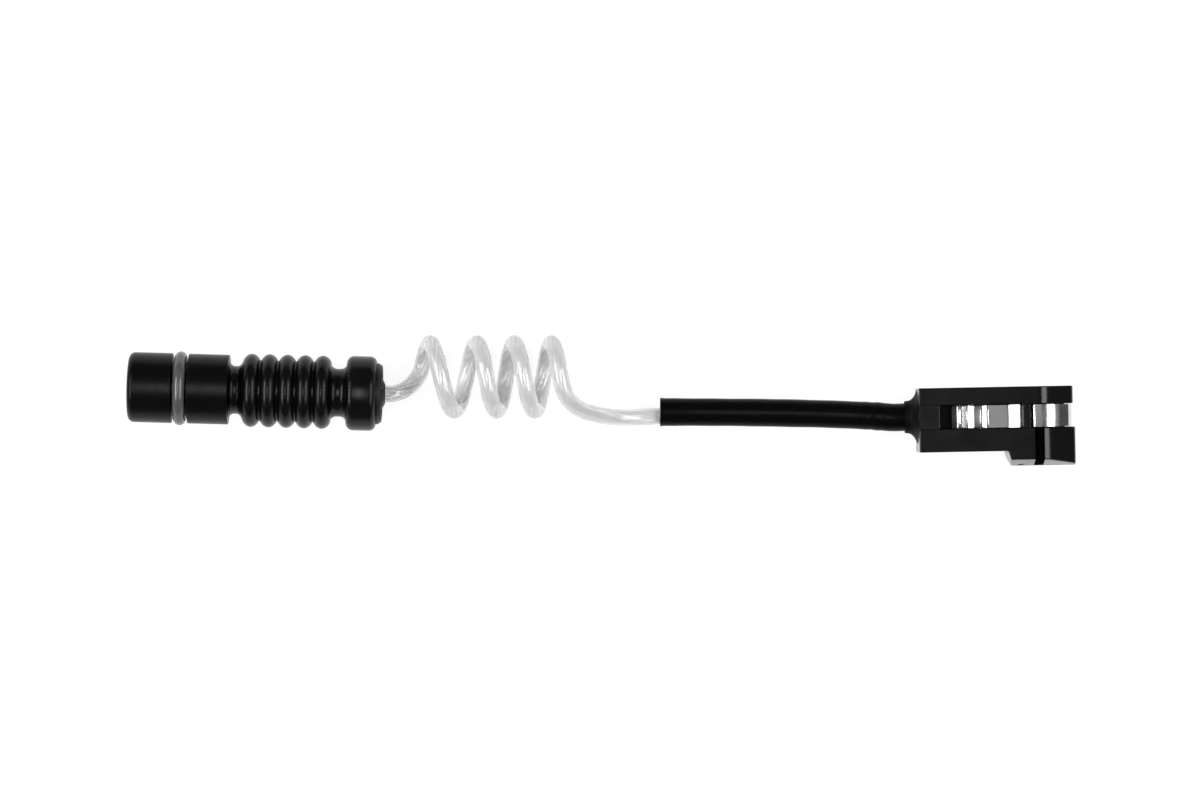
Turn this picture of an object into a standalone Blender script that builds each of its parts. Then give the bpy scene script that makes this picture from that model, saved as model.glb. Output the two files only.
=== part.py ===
# Brake pad wear sensor: a round sealed plug with a rubber boot, a curly lead, and a contact head
# that clips into the backing plate of a brake pad.
#
# Metres, +Z up. The sensor lies on a flat surface with its length along X, the plug at -X and the
# head at +X. The origin is on the surface, under the middle of the plug and head.

import math

import bmesh
import bpy
from mathutils import Vector

# Clearance between pieces that fit together
FIT_GAP = 0.00005

# Where the two ends lie
PLUG_EXIT_X = -0.01932
PLUG_EXIT_Y = 0.00129
PLUG_TILT_DEG = -1.6
HEAD_FACE_X = 0.02857
HEAD_AXIS_Y = -0.00077
HEAD_TILT_DEG = 1.1

# Lead: insulated wire
LEAD_DIAMETER = 0.0015
CONDUCTOR_DIAMETER = 0.0008
CONDUCTOR_GRIP = 0.0015
COIL_DIAMETER = 0.0076
COIL_CENTRE_Y = 0.00283
COIL_START_X = -0.01602
COIL_END_X = -0.00342

# Plug body, from the nose to the spigot inside the boot
NOSE_DIAMETER = 0.0063
NOSE_LENGTH = 0.00393
NOSE_ROUNDING = 0.0006
LAND_DIAMETER = 0.00628
LAND_LENGTH = 0.00365
GROOVE_LENGTH = 0.00144
SPIGOT_DIAMETER = 0.003
SPIGOT_LENGTH = 0.0064
BARB_HEIGHT = 0.0002
BARB_LENGTH = 0.0012
SOCKET_BORE = 0.0036
SOCKET_DEPTH = 0.0042
SOCKET_LEAD_IN = 0.0003
TERMINAL_BORE = 0.0025

# Sealing ring
RING_DIAMETER = 0.00666
RING_SECTION = 0.0011

# Socket terminal
TERMINAL_SETBACK = 0.001
TERMINAL_FLANGE_DIAMETER = 0.0031
TERMINAL_FLANGE_LENGTH = 0.0006
TERMINAL_BODY_LENGTH = 0.008
PIN_BORE = 0.0015
PIN_BORE_DEPTH = 0.006
TERMINAL_SLIT_WIDTH = 0.00025
TERMINAL_SLIT_LENGTH = 0.0021
CRIMP_DIAMETER = 0.0016
CRIMP_LENGTH = 0.0028

# Boot
COLLAR_DIAMETER = 0.0067
COLLAR_LENGTH = 0.0027
COLLAR_ROUNDING = 0.0006
NECK_DIAMETER = 0.0043
REAR_NECK_LENGTH = 0.00144
FRONT_NECK_LENGTH = 0.00117
NECK_FLARE = 0.0003
RIB_COUNT = 5
RIB_DIAMETER = 0.0066
RIB_ROOT_DIAMETER = 0.00555
RIB_PITCH = 0.0016
RIB_HALF_WIDTH = 0.00072
FRONT_RIB_EXTRA = 0.00013

# Wire seal in the boot's rear end
SEAL_DIAMETER = 0.0055
SEAL_PROUD = 0.0005
SEAL_SEAT_DEPTH = 0.0009
SEAL_NUB_LENGTH = 0.0003
SEAL_NUB_DIAMETER = 0.0026

# Sleeve over the lead
SLEEVE_DIAMETER = 0.0025
SLEEVE_WALL = 0.00015
SLEEVE_ENTRY = 0.0006

# Head housing
HEAD_LENGTH = 0.01396
HEAD_DEPTH = 0.006
HEAD_TOP = 0.00257
HEAD_CORNER = 0.0001
END_BEND_SETBACK = 0.00331
END_BEND_RADIUS = 0.0019
END_SLOPE_DEG = 35
END_ROUNDING = 0.0005
RECESS_TOP = 0.00097
RECESS_BOTTOM = -0.00112
RECESS_START = 0.00187
CORE_DEPTH = 0.0036
CORE_END_SETBACK = 0.0007
LOWER_FLANGE_BOTTOM = -0.0032
LOWER_END_PROUD = 0.00017
FOOT_BOTTOM = -0.00456
FOOT_LENGTH = 0.00601
FOOT_SLANT = 0.0004
FOOT_RAMP_HEIGHT = 0.00058
FOOT_RAMP_DEPTH = 0.0026
SLOT_SETBACK = 0.0036
SLOT_WIDTH = 0.00086
SLOT_DEPTH = 0.0045
POST_SETBACK = 0.00463
POST_WIDTH = 0.00065
POST_THICKNESS = 0.00042
BOSS_LENGTH = 0.00115
BOSS_TIP_DIAMETER = 0.0029
BOSS_ROOT_DIAMETER = 0.0049

# Retaining clip round the core of the head
CLIP_THICKNESS = 0.00025
CLIP_SET_BACK = 0.00015
CLIP_STEP = 0.00025
CLIP_TIP_DROP = 0.00045
CLIP_START = 0.00298
CLIP_TIP_RUN = 0.00052
CLIP_RIDGE = 0.00434
CLIP_RIDGE_HALF_WIDTH = 0.00058
CLIP_RISE_END = 0.00613
CLIP_RISE_RUN = 0.00053
CLIP_FALL_SETBACK = 0.00594
CLIP_REJOIN_RUN = 0.00032

# Wear contact inside the head
CONTACT_THICKNESS = 0.0004
CONTACT_WIDTH = 0.0012
CONTACT_SETBACK = 0.00479
CONTACT_COVER = 0.0006
CONTACT_CRIMP_START = 0.0024
CONTACT_CRIMP_LENGTH = 0.0024
CRIMP_OVERLAP = 0.0004

# Fineness of round shapes
TURN_STEPS = 32
FINE_STEPS = 20
ARC_STEPS = 4
END_STEPS = 14
CUT_MARGIN = 0.001

# Routes of the lead and the sleeve, as they lie
LEAD_FRONT_ROUTE = (
    (-0.01896, 0.00127, 0.00335),
    (-0.01854, 0.00130, 0.00320),
    (-0.01818, 0.00144, 0.00290),
    (-0.01782, 0.00158, 0.00250),
    (-0.01746, 0.00179, 0.00200),
    (-0.01710, 0.00211, 0.00150),
)
LEAD_REAR_ROUTE = (
    (-0.00234, 0.00031, 0.00554),
    (-0.00198, 0.00005, 0.00510),
    (-0.00162, -0.00010, 0.00470),
    (-0.00126, -0.00025, 0.00430),
    (-0.00054, -0.00049, 0.00372),
    (0.00018, -0.00065, 0.00320),
    (0.00090, -0.00074, 0.00272),
    (0.00162, -0.00080, 0.00230),
    (0.00234, -0.00083, 0.00196),
    (0.00306, -0.00081, 0.00170),
    (0.00414, -0.00076, 0.00138),
    (0.00518, -0.00073, 0.00127),
)
SLEEVE_ROUTE = (
    (0.00545, -0.00033, 0.00130),
    (0.00900, -0.00034, 0.00134),
    (0.01300, -0.00037, 0.00156),
    (0.01700, -0.00043, 0.00192),
    (0.02100, -0.00053, 0.00238),
    (0.02460, -0.00069, 0.00278),
)
# Which way the lead leans inside the sleeve, at its mouth
LEAD_LEAN = (0.0, -0.97, -0.24)

# Stations along the plug's axis, from the lead's exit forwards
COLLAR_REAR = SEAL_NUB_LENGTH + SEAL_PROUD
COLLAR_FRONT = COLLAR_REAR + COLLAR_LENGTH
RIBS_REAR = COLLAR_FRONT + REAR_NECK_LENGTH
REAR_CREST = RIBS_REAR + RIB_HALF_WIDTH
FRONT_CREST = REAR_CREST + (RIB_COUNT - 1) * RIB_PITCH
RIBS_FRONT = FRONT_CREST + RIB_HALF_WIDTH + FRONT_RIB_EXTRA
SHOULDER = RIBS_FRONT + FRONT_NECK_LENGTH
LAND_FRONT = SHOULDER + LAND_LENGTH
GROOVE_FRONT = LAND_FRONT + GROOVE_LENGTH
NOSE_FRONT = GROOVE_FRONT + NOSE_LENGTH
SPIGOT_END = SHOULDER - SPIGOT_LENGTH
SOCKET_FLOOR = NOSE_FRONT - SOCKET_DEPTH
SEAL_SEAT = COLLAR_REAR + SEAL_SEAT_DEPTH
TERMINAL_FRONT = NOSE_FRONT - TERMINAL_SETBACK
TERMINAL_FLANGE_REAR = SOCKET_FLOOR + FIT_GAP
TERMINAL_FLANGE_FRONT = TERMINAL_FLANGE_REAR + TERMINAL_FLANGE_LENGTH
TERMINAL_BODY_REAR = TERMINAL_FRONT - TERMINAL_BODY_LENGTH
CRIMP_REAR = TERMINAL_BODY_REAR - CRIMP_LENGTH
INSULATION_FRONT = CRIMP_REAR - FIT_GAP

# Radii that several pieces share
LEAD_RADIUS = LEAD_DIAMETER / 2
LEAD_BORE_RADIUS = LEAD_RADIUS + FIT_GAP
CONDUCTOR_RADIUS = CONDUCTOR_DIAMETER / 2
CONDUCTOR_BORE_RADIUS = CONDUCTOR_RADIUS + FIT_GAP
SLEEVE_RADIUS = SLEEVE_DIAMETER / 2
SLEEVE_SEAT_RADIUS = SLEEVE_RADIUS + FIT_GAP
BODY_BORE_RADIUS = TERMINAL_BORE / 2
TERMINAL_RADIUS = BODY_BORE_RADIUS - FIT_GAP
HALF_DEPTH = HEAD_DEPTH / 2
END_CENTRE = HEAD_LENGTH - HALF_DEPTH
FOOT_START = HEAD_LENGTH - FOOT_LENGTH
SLOT_START = HEAD_LENGTH - SLOT_SETBACK
POST_START = HEAD_LENGTH - POST_SETBACK
CLIP_FALL_START = HEAD_LENGTH - CLIP_FALL_SETBACK
CONTACT_LEG = HEAD_LENGTH - CONTACT_SETBACK
PLUG_AXIS_HEIGHT = max(COLLAR_DIAMETER, RIB_DIAMETER, RING_DIAMETER, NOSE_DIAMETER) / 2


def clear_scene():
    for old in list(bpy.data.objects):
        bpy.data.objects.remove(old, do_unlink=True)


def make_collection(name):
    group = bpy.data.collections.new(name)
    bpy.context.scene.collection.children.link(group)
    return group


clear_scene()
PARTS = make_collection("brake_pad_wear_sensor")
CUTTERS = make_collection("cutters")


def make_material(name, grey, roughness, metallic=0.0, tint=(1.0, 1.0, 1.0)):
    material = bpy.data.materials.new(name)
    material.use_nodes = True
    shader = material.node_tree.nodes["Principled BSDF"]
    shader.inputs["Base Color"].default_value = (grey * tint[0], grey * tint[1], grey * tint[2], 1.0)
    shader.inputs["Roughness"].default_value = roughness
    shader.inputs["Metallic"].default_value = metallic
    return material


def make_frame(name, location, rotation):
    frame = bpy.data.objects.new(name, None)
    frame.location = location
    frame.rotation_euler = rotation
    PARTS.objects.link(frame)
    return frame


def place(obj, parent, material=None):
    """Puts an object under its frame, in the parts if it has a material and else in the cutters."""
    obj.parent = parent
    if material is None:
        CUTTERS.objects.link(obj)
        obj.hide_render = True
        obj.display_type = "WIRE"
    else:
        PARTS.objects.link(obj)
        obj.data.materials.append(material)
    return obj


def shade(obj):
    """Smooth shading with crisp edges, for pieces held as meshes."""
    obj.data.shade_smooth()
    obj.data.set_sharp_from_angle(angle=math.radians(35))


def turned(name, profile, parent, material=None, closed=True, steps=TURN_STEPS):
    """A solid turned about local Z from (radius, height) points that run down its outer side."""
    mesh = bpy.data.meshes.new(name)
    shape = bmesh.new()
    points = [shape.verts.new((radius, 0.0, height)) for radius, height in profile]
    for first, second in zip(points, points[1:]):
        shape.edges.new((first, second))
    if closed:
        shape.edges.new((points[-1], points[0]))
    shape.to_mesh(mesh)
    shape.free()
    obj = bpy.data.objects.new(name, mesh)
    screw = obj.modifiers.new("turn", "SCREW")
    screw.axis = "Z"
    screw.steps = steps
    screw.render_steps = steps
    screw.use_merge_vertices = True
    screw.merge_threshold = 0.000001
    screw.use_smooth_shade = True
    return place(obj, parent, material)


def flat_outline(name, outlines, thickness, parent, material=None):
    """A plate cut to closed outlines in local XY, an outline inside another being a hole."""
    curve = bpy.data.curves.new(name, "CURVE")
    curve.dimensions = "2D"
    curve.fill_mode = "BOTH"
    curve.extrude = thickness / 2
    for outline in outlines:
        spline = curve.splines.new("POLY")
        spline.points.add(len(outline) - 1)
        for point, (x, y) in zip(spline.points, outline):
            point.co = (x, y, 0.0, 1.0)
        spline.use_cyclic_u = True
    return place(bpy.data.objects.new(name, curve), parent, material)


def tube(name, points, radius, parent, material=None, fineness=3):
    """A round bar along points, with closed ends."""
    curve = bpy.data.curves.new(name, "CURVE")
    curve.dimensions = "3D"
    curve.bevel_depth = radius
    curve.bevel_resolution = fineness
    curve.use_fill_caps = True
    spline = curve.splines.new("POLY")
    spline.points.add(len(points) - 1)
    for point, place_at in zip(spline.points, points):
        point.co = (*place_at, 1.0)
    return place(bpy.data.objects.new(name, curve), parent, material)


def as_mesh(curve_object):
    """The same object held as a welded mesh, so that it can be cut or can cut."""
    name = curve_object.name
    parent = curve_object.parent
    material = curve_object.active_material
    bpy.context.view_layer.update()
    graph = bpy.context.evaluated_depsgraph_get()
    mesh = bpy.data.meshes.new_from_object(curve_object.evaluated_get(graph))
    shape = bmesh.new()
    shape.from_mesh(mesh)
    bmesh.ops.remove_doubles(shape, verts=shape.verts, dist=0.000001)
    bmesh.ops.recalc_face_normals(shape, faces=shape.faces)
    shape.to_mesh(mesh)
    shape.free()
    location = curve_object.location.copy()
    rotation = curve_object.rotation_euler.copy()
    bpy.data.objects.remove(curve_object, do_unlink=True)
    mesh.materials.clear()
    obj = bpy.data.objects.new(name, mesh)
    obj.location = location
    obj.rotation_euler = rotation
    return place(obj, parent, material)


def combine(obj, other, operation):
    step = obj.modifiers.new(operation.lower() + "_" + other.name, "BOOLEAN")
    step.operation = operation
    step.solver = "EXACT"
    step.object = other


def cut(obj, cutter):
    combine(obj, cutter, "DIFFERENCE")


def join(obj, other):
    combine(obj, other, "UNION")


def arc(centre, radius, start_deg, end_deg, steps=ARC_STEPS):
    """Points on an arc, both ends included."""
    points = []
    for step in range(steps + 1):
        angle = math.radians(start_deg + (end_deg - start_deg) * step / steps)
        points.append((centre[0] + radius * math.cos(angle), centre[1] + radius * math.sin(angle)))
    return points


def smooth_route(route, per_span):
    """Points read from a smooth curve through a route."""
    points = [Vector(point) for point in route]
    first = points[0] * 2 - points[1]
    last = points[-1] * 2 - points[-2]
    padded = [first] + points + [last]
    smooth = []
    for index in range(1, len(padded) - 2):
        before, start, end, after = padded[index - 1:index + 3]
        for step in range(per_span):
            t = step / per_span
            smooth.append(0.5 * (
                2 * start
                + (end - before) * t
                + (2 * before - 5 * start + 4 * end - after) * t ** 2
                + (3 * start - before - 3 * end + after) * t ** 3
            ))
    return smooth + [points[-1]]


def make_plug_body(frame, material):
    """Moulded body: sealed nose, land and the barbed spigot that the boot grips."""
    nose = NOSE_DIAMETER / 2
    land = LAND_DIAMETER / 2
    groove = RING_DIAMETER / 2 - RING_SECTION - FIT_GAP
    spigot = SPIGOT_DIAMETER / 2
    barb = spigot + BARB_HEIGHT
    socket = SOCKET_BORE / 2
    profile = [(socket + SOCKET_LEAD_IN, NOSE_FRONT)]
    profile += reversed(arc((nose - NOSE_ROUNDING, NOSE_FRONT - NOSE_ROUNDING), NOSE_ROUNDING, 0, 90))
    profile += [
        (nose, GROOVE_FRONT),
        (groove, GROOVE_FRONT),
        (groove, LAND_FRONT),
        (land, LAND_FRONT),
        (land, SHOULDER),
        (spigot, SHOULDER),
        (spigot, SPIGOT_END + BARB_LENGTH),
        (barb, SPIGOT_END + BARB_LENGTH),
        (spigot, SPIGOT_END),
        (BODY_BORE_RADIUS, SPIGOT_END),
        (BODY_BORE_RADIUS, SOCKET_FLOOR),
        (socket, SOCKET_FLOOR),
        (socket, NOSE_FRONT - SOCKET_LEAD_IN),
    ]
    turned("plug_body", profile, frame, material)


def make_sealing_ring(frame, material):
    """Round-section ring in the groove of the plug body."""
    middle = (RING_DIAMETER - RING_SECTION) / 2
    height = (GROOVE_FRONT + LAND_FRONT) / 2
    profile = arc((middle, height), RING_SECTION / 2, 90, -270, 12)[:-1]
    turned("sealing_ring", profile, frame, material)


def make_socket_terminal(frame, material):
    """Turned contact: slit socket for a pin, locating flange and a crimp barrel for the lead."""
    flange = TERMINAL_FLANGE_DIAMETER / 2
    pin = PIN_BORE / 2
    crimp = CRIMP_DIAMETER / 2
    crimp_floor = TERMINAL_BODY_REAR + FIT_GAP
    profile = [
        (0.0, TERMINAL_FRONT - PIN_BORE_DEPTH),
        (pin, TERMINAL_FRONT - PIN_BORE_DEPTH),
        (pin, TERMINAL_FRONT),
        (TERMINAL_RADIUS, TERMINAL_FRONT),
        (TERMINAL_RADIUS, TERMINAL_FLANGE_FRONT),
        (flange, TERMINAL_FLANGE_FRONT),
        (flange, TERMINAL_FLANGE_REAR),
        (TERMINAL_RADIUS, TERMINAL_FLANGE_REAR),
        (TERMINAL_RADIUS, TERMINAL_BODY_REAR),
        (crimp, TERMINAL_BODY_REAR),
        (crimp, CRIMP_REAR),
        (CONDUCTOR_BORE_RADIUS, CRIMP_REAR),
        (CONDUCTOR_BORE_RADIUS, crimp_floor),
        (0.0, crimp_floor),
    ]
    terminal = turned("socket_terminal", profile, frame, material, closed=False, steps=FINE_STEPS)
    half = TERMINAL_SLIT_WIDTH / 2
    reach = TERMINAL_RADIUS + CUT_MARGIN
    for number in range(2):
        outline = [(-reach, -half), (reach, -half), (reach, half), (-reach, half)]
        slit = as_mesh(flat_outline("terminal_slit_%d" % number, [outline], 2 * TERMINAL_SLIT_LENGTH, frame))
        slit.location = (0.0, 0.0, TERMINAL_FRONT)
        slit.rotation_euler = (0.0, 0.0, math.radians(45 + 90 * number))
        cut(terminal, slit)


def held_lead_profile(front, rear):
    """A stretch of insulation whose front end is open for the bared conductor."""
    return [
        (0.0, front - CONDUCTOR_GRIP - FIT_GAP),
        (CONDUCTOR_BORE_RADIUS, front - CONDUCTOR_GRIP - FIT_GAP),
        (CONDUCTOR_BORE_RADIUS, front),
        (LEAD_RADIUS, front),
        (LEAD_RADIUS, rear),
        (0.0, rear),
    ]


def rod_profile(radius, front, rear):
    return [(0.0, front), (radius, front), (radius, rear), (0.0, rear)]


def make_plug_lead_end(frame, material):
    """Insulation from the crimp to the plug's rear face."""
    profile = held_lead_profile(INSULATION_FRONT, 0.0)
    turned("lead_plug_end", profile, frame, material, closed=False, steps=FINE_STEPS)


def make_plug_conductor(frame, material):
    """Bared strands in the terminal's crimp barrel."""
    profile = rod_profile(CONDUCTOR_RADIUS, TERMINAL_BODY_REAR, INSULATION_FRONT - CONDUCTOR_GRIP)
    turned("plug_conductor", profile, frame, material, closed=False, steps=FINE_STEPS)


def rib_points(crest, front_half_width, rear_half_width):
    """One rounded rib of the boot, from its front foot to its rear foot."""
    root = RIB_ROOT_DIAMETER / 2
    height = RIB_DIAMETER / 2 - root
    points = []
    for step in range(2 * ARC_STEPS + 1):
        angle = math.radians(90 - 90 * step / ARC_STEPS)
        width = front_half_width if step < ARC_STEPS else rear_half_width
        points.append((root + height * math.cos(angle), crest + width * math.sin(angle)))
    return points


def neck_points(front, rear):
    """A hollow neck that flares a little at both ends."""
    neck = NECK_DIAMETER / 2
    length = front - rear
    points = []
    for share in (0.08, 0.3, 0.5, 0.7, 0.92):
        flare = NECK_FLARE * abs(2 * share - 1) ** 3
        points.append((neck + flare, front - length * share))
    return points


def make_boot(frame, material):
    """Rubber boot: neck, five ribs, neck and collar, pushed over the body's spigot."""
    collar = COLLAR_DIAMETER / 2
    spigot_bore = SPIGOT_DIAMETER / 2 + FIT_GAP
    barb_bore = spigot_bore + BARB_HEIGHT
    barb_front = SPIGOT_END + BARB_LENGTH + FIT_GAP
    seat = SEAL_DIAMETER / 2 + FIT_GAP
    front_face = SHOULDER - FIT_GAP
    profile = [(spigot_bore, front_face), (NECK_DIAMETER / 2 + NECK_FLARE, front_face)]
    profile += neck_points(front_face, RIBS_FRONT)
    for number in range(RIB_COUNT):
        extra = FRONT_RIB_EXTRA if number == 0 else 0.0
        profile += rib_points(FRONT_CREST - number * RIB_PITCH, RIB_HALF_WIDTH + extra, RIB_HALF_WIDTH)
    profile += neck_points(RIBS_REAR, COLLAR_FRONT)
    front_edge = (collar - COLLAR_ROUNDING, COLLAR_FRONT - COLLAR_ROUNDING)
    rear_edge = (collar - COLLAR_ROUNDING, COLLAR_REAR + COLLAR_ROUNDING)
    profile += reversed(arc(front_edge, COLLAR_ROUNDING, 0, 90))
    profile += reversed(arc(rear_edge, COLLAR_ROUNDING, -90, 0))
    profile += [
        (seat, COLLAR_REAR),
        (seat, SEAL_SEAT),
        (LEAD_BORE_RADIUS, SEAL_SEAT),
        (LEAD_BORE_RADIUS, SPIGOT_END - FIT_GAP),
        (barb_bore, SPIGOT_END - FIT_GAP),
        (barb_bore, barb_front),
        (spigot_bore, barb_front),
    ]
    turned("boot", profile, frame, material)


def make_wire_seal(frame, material):
    """Disc in the collar's rear seat, with a low cone round the lead."""
    outer = SEAL_DIAMETER / 2
    profile = [
        (LEAD_BORE_RADIUS, SEAL_SEAT - FIT_GAP),
        (outer, SEAL_SEAT - FIT_GAP),
        (outer, SEAL_NUB_LENGTH),
        (SEAL_NUB_DIAMETER / 2, SEAL_NUB_LENGTH),
        (LEAD_BORE_RADIUS + FIT_GAP, 0.0),
        (LEAD_BORE_RADIUS, 0.0),
    ]
    turned("wire_seal", profile, frame, material)


def make_plug(materials):
    """Everything on the plug's axis: local Z points out of the nose, local 0 is the lead's exit."""
    tilt = math.radians(PLUG_TILT_DEG)
    frame = make_frame("plug_axis", (PLUG_EXIT_X, PLUG_EXIT_Y, PLUG_AXIS_HEIGHT), (0.0, -math.pi / 2, tilt))
    make_plug_body(frame, materials["plug_plastic"])
    make_sealing_ring(frame, materials["ring_rubber"])
    make_socket_terminal(frame, materials["brass"])
    make_plug_conductor(frame, materials["strands"])
    make_plug_lead_end(frame, materials["insulation"])
    make_boot(frame, materials["boot_rubber"])
    make_wire_seal(frame, materials["seal_rubber"])


def make_free_lead(root, material):
    """The lead between plug and sleeve: two plain stretches and the outer shape of its coil."""
    tube("lead_front", smooth_route(LEAD_FRONT_ROUTE, 1), LEAD_RADIUS, root, material, fineness=2)
    tube("lead_rear", smooth_route(LEAD_REAR_ROUTE, 1), LEAD_RADIUS, root, material, fineness=2)
    coil_axis = (COIL_CENTRE_Y, COIL_DIAMETER / 2)
    ends = [(COIL_START_X, *coil_axis), (COIL_END_X, *coil_axis)]
    tube("lead_coil", ends, COIL_DIAMETER / 2, root, material, fineness=6)


def head_point(along, across=0.0):
    """A point on the head's lead axis, in the sensor's frame."""
    tilt = math.radians(HEAD_TILT_DEG)
    x = HEAD_FACE_X + along * math.cos(tilt) - across * math.sin(tilt)
    y = HEAD_AXIS_Y + along * math.sin(tilt) + across * math.cos(tilt)
    return (x, y, HALF_DEPTH)


def sleeve_path():
    """The sleeve's centre line, from its mouth into the head."""
    route = list(SLEEVE_ROUTE)
    route += [head_point(-2 * BOSS_LENGTH), head_point(-BOSS_LENGTH), head_point(SLEEVE_ENTRY)]
    return smooth_route(route, 3)


def make_sleeve(root, material):
    """Thin tube over the rear stretch of the lead."""
    path = sleeve_path()
    sleeve = as_mesh(tube("sleeve", path, SLEEVE_RADIUS, root, material, fineness=6))
    before = path[0] + (path[0] - path[1]).normalized() * CUT_MARGIN
    beyond = path[-1] + (path[-1] - path[-2]).normalized() * CUT_MARGIN
    bore_path = [before] + path + [beyond]
    bore = as_mesh(tube("sleeve_bore", bore_path, SLEEVE_RADIUS - SLEEVE_WALL, root, fineness=6))
    cut(sleeve, bore)


def make_head_lead_end(root, material):
    """Insulation from the sleeve's mouth to the crimp in the head."""
    centre = sleeve_path()
    offset = Vector(LEAD_LEAN) * (SLEEVE_RADIUS - SLEEVE_WALL - LEAD_BORE_RADIUS)
    points = []
    for number, point in enumerate(centre):
        share = max(0.0, 1.0 - 1.5 * number / (len(centre) - 1))
        points.append(point + offset * share)
    points.append(Vector(head_point(CONTACT_CRIMP_START - FIT_GAP)))
    lead = as_mesh(tube("lead_head_end", points, LEAD_RADIUS, root, material, fineness=3))
    grip_start = head_point(CONTACT_CRIMP_START - CONDUCTOR_GRIP - FIT_GAP)
    grip = [grip_start, head_point(CONTACT_CRIMP_START + CUT_MARGIN)]
    bore = as_mesh(tube("head_lead_bore", grip, CONDUCTOR_BORE_RADIUS, root, fineness=3))
    cut(lead, bore)


def make_head_conductor(root, material):
    """Bared strands in the wear contact's crimp barrel."""
    reach = CONTACT_CRIMP_START + CONTACT_CRIMP_LENGTH - CRIMP_OVERLAP - FIT_GAP
    ends = [head_point(CONTACT_CRIMP_START - CONDUCTOR_GRIP), head_point(reach)]
    tube("head_conductor", ends, CONDUCTOR_RADIUS, root, material)


def core_outline(length, half_depth, start):
    """The core seen along the head's height: straight sides and a half-round far end."""
    round_end = arc((length - half_depth, 0.0), half_depth, 90, -90, END_STEPS)
    return [(start, half_depth), *round_end, (start, -half_depth)]


def flange_outline(length):
    """A flange seen along the head's height: flat sides that bend into slopes, and a blunt end."""
    slope = math.radians(END_SLOPE_DEG)
    bend_centre = (length - END_BEND_SETBACK, HALF_DEPTH - END_BEND_RADIUS)
    bend = arc(bend_centre, END_BEND_RADIUS, 90, 90 - END_SLOPE_DEG)
    bend_end = bend[-1]
    across = length - END_ROUNDING - bend_end[0]
    corner_depth = bend_end[1] - (END_ROUNDING + across * math.sin(slope)) / math.cos(slope)
    corner = arc((length - END_ROUNDING, corner_depth), END_ROUNDING, 90 - END_SLOPE_DEG, 0)
    front = [(0.0, HALF_DEPTH - HEAD_CORNER), (HEAD_CORNER, HALF_DEPTH), *bend, *corner]
    return front + [(x, -z) for x, z in reversed(front)]


def slab(name, outlines, bottom, top, frame, material=None):
    """A solid with a plan outline, between two heights of the head."""
    solid = flat_outline(name, outlines, top - bottom, frame, material)
    solid.rotation_euler = (math.pi / 2, 0.0, 0.0)
    solid.location = (0.0, (top + bottom) / 2, 0.0)
    return as_mesh(solid)


def side_cutter(name, outline, width, frame, depth=0.0):
    """A cutter with a side-view outline, centred at a depth."""
    cutter = flat_outline(name, [outline], width, frame)
    cutter.location = (0.0, 0.0, depth)
    return as_mesh(cutter)


def rectangle(left, right, bottom, top):
    return [(left, bottom), (right, bottom), (right, top), (left, top)]


def post_outline(side):
    """A retaining post in plan, on the front (side 1) or the back (side -1)."""
    outer = side * (HALF_DEPTH - CLIP_SET_BACK / 2)
    inner = side * (HALF_DEPTH - CLIP_SET_BACK / 2 - POST_THICKNESS)
    return rectangle(POST_START, POST_START + POST_WIDTH, min(inner, outer), max(inner, outer))


def cut_recess(housing, frame):
    """The channel round the core, in which the clip lies. Two posts stand in it."""
    margin = HALF_DEPTH + CUT_MARGIN
    around = rectangle(RECESS_START, HEAD_LENGTH + CUT_MARGIN, -margin, margin)
    core_length = HEAD_LENGTH - CORE_END_SETBACK
    core = core_outline(core_length, CORE_DEPTH / 2, RECESS_START - CUT_MARGIN)
    channel = slab("recess_channel", [around], RECESS_BOTTOM, RECESS_TOP, frame)
    spared_core = slab("spared_core", [core], RECESS_BOTTOM - CUT_MARGIN, RECESS_TOP + CUT_MARGIN, frame)
    cut(channel, spared_core)
    for side, label in ((1, "front"), (-1, "back")):
        height = (RECESS_BOTTOM - CUT_MARGIN, RECESS_TOP + CUT_MARGIN)
        cut(channel, slab("spared_post_" + label, [post_outline(side)], *height, frame))
    cut(housing, channel)


def cut_foot_clearance(housing, frame):
    """Takes the material below the lower flange away, up to the slanted side of the foot."""
    floor = FOOT_BOTTOM - CUT_MARGIN
    slope = FOOT_SLANT / (LOWER_FLANGE_BOTTOM - FOOT_BOTTOM)
    outline = [
        (-CUT_MARGIN, LOWER_FLANGE_BOTTOM),
        (-CUT_MARGIN, floor),
        (FOOT_START + slope * (LOWER_FLANGE_BOTTOM - floor), floor),
        (FOOT_START, LOWER_FLANGE_BOTTOM),
    ]
    cut(housing, side_cutter("foot_clearance", outline, HEAD_DEPTH + 2 * CUT_MARGIN, frame))


def cut_foot_ramps(housing, frame):
    """Slopes the underside of the foot up towards the front and the back, with a flat land between."""
    slope = FOOT_RAMP_HEIGHT / FOOT_RAMP_DEPTH
    below = FOOT_BOTTOM - slope * CUT_MARGIN
    above = FOOT_BOTTOM + FOOT_RAMP_HEIGHT + slope * CUT_MARGIN
    for side, label in ((1, "front"), (-1, "back")):
        inner = side * (HALF_DEPTH - FOOT_RAMP_DEPTH - CUT_MARGIN)
        outer = side * (HALF_DEPTH + CUT_MARGIN)
        outline = [(inner, below), (outer, above), (outer, below)]
        wedge = flat_outline("foot_ramp_" + label, [outline], HEAD_LENGTH + 2 * CUT_MARGIN, frame)
        wedge.rotation_euler = (0.0, -math.pi / 2, 0.0)
        wedge.location = (HEAD_LENGTH / 2, 0.0, 0.0)
        cut(housing, as_mesh(wedge))


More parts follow.
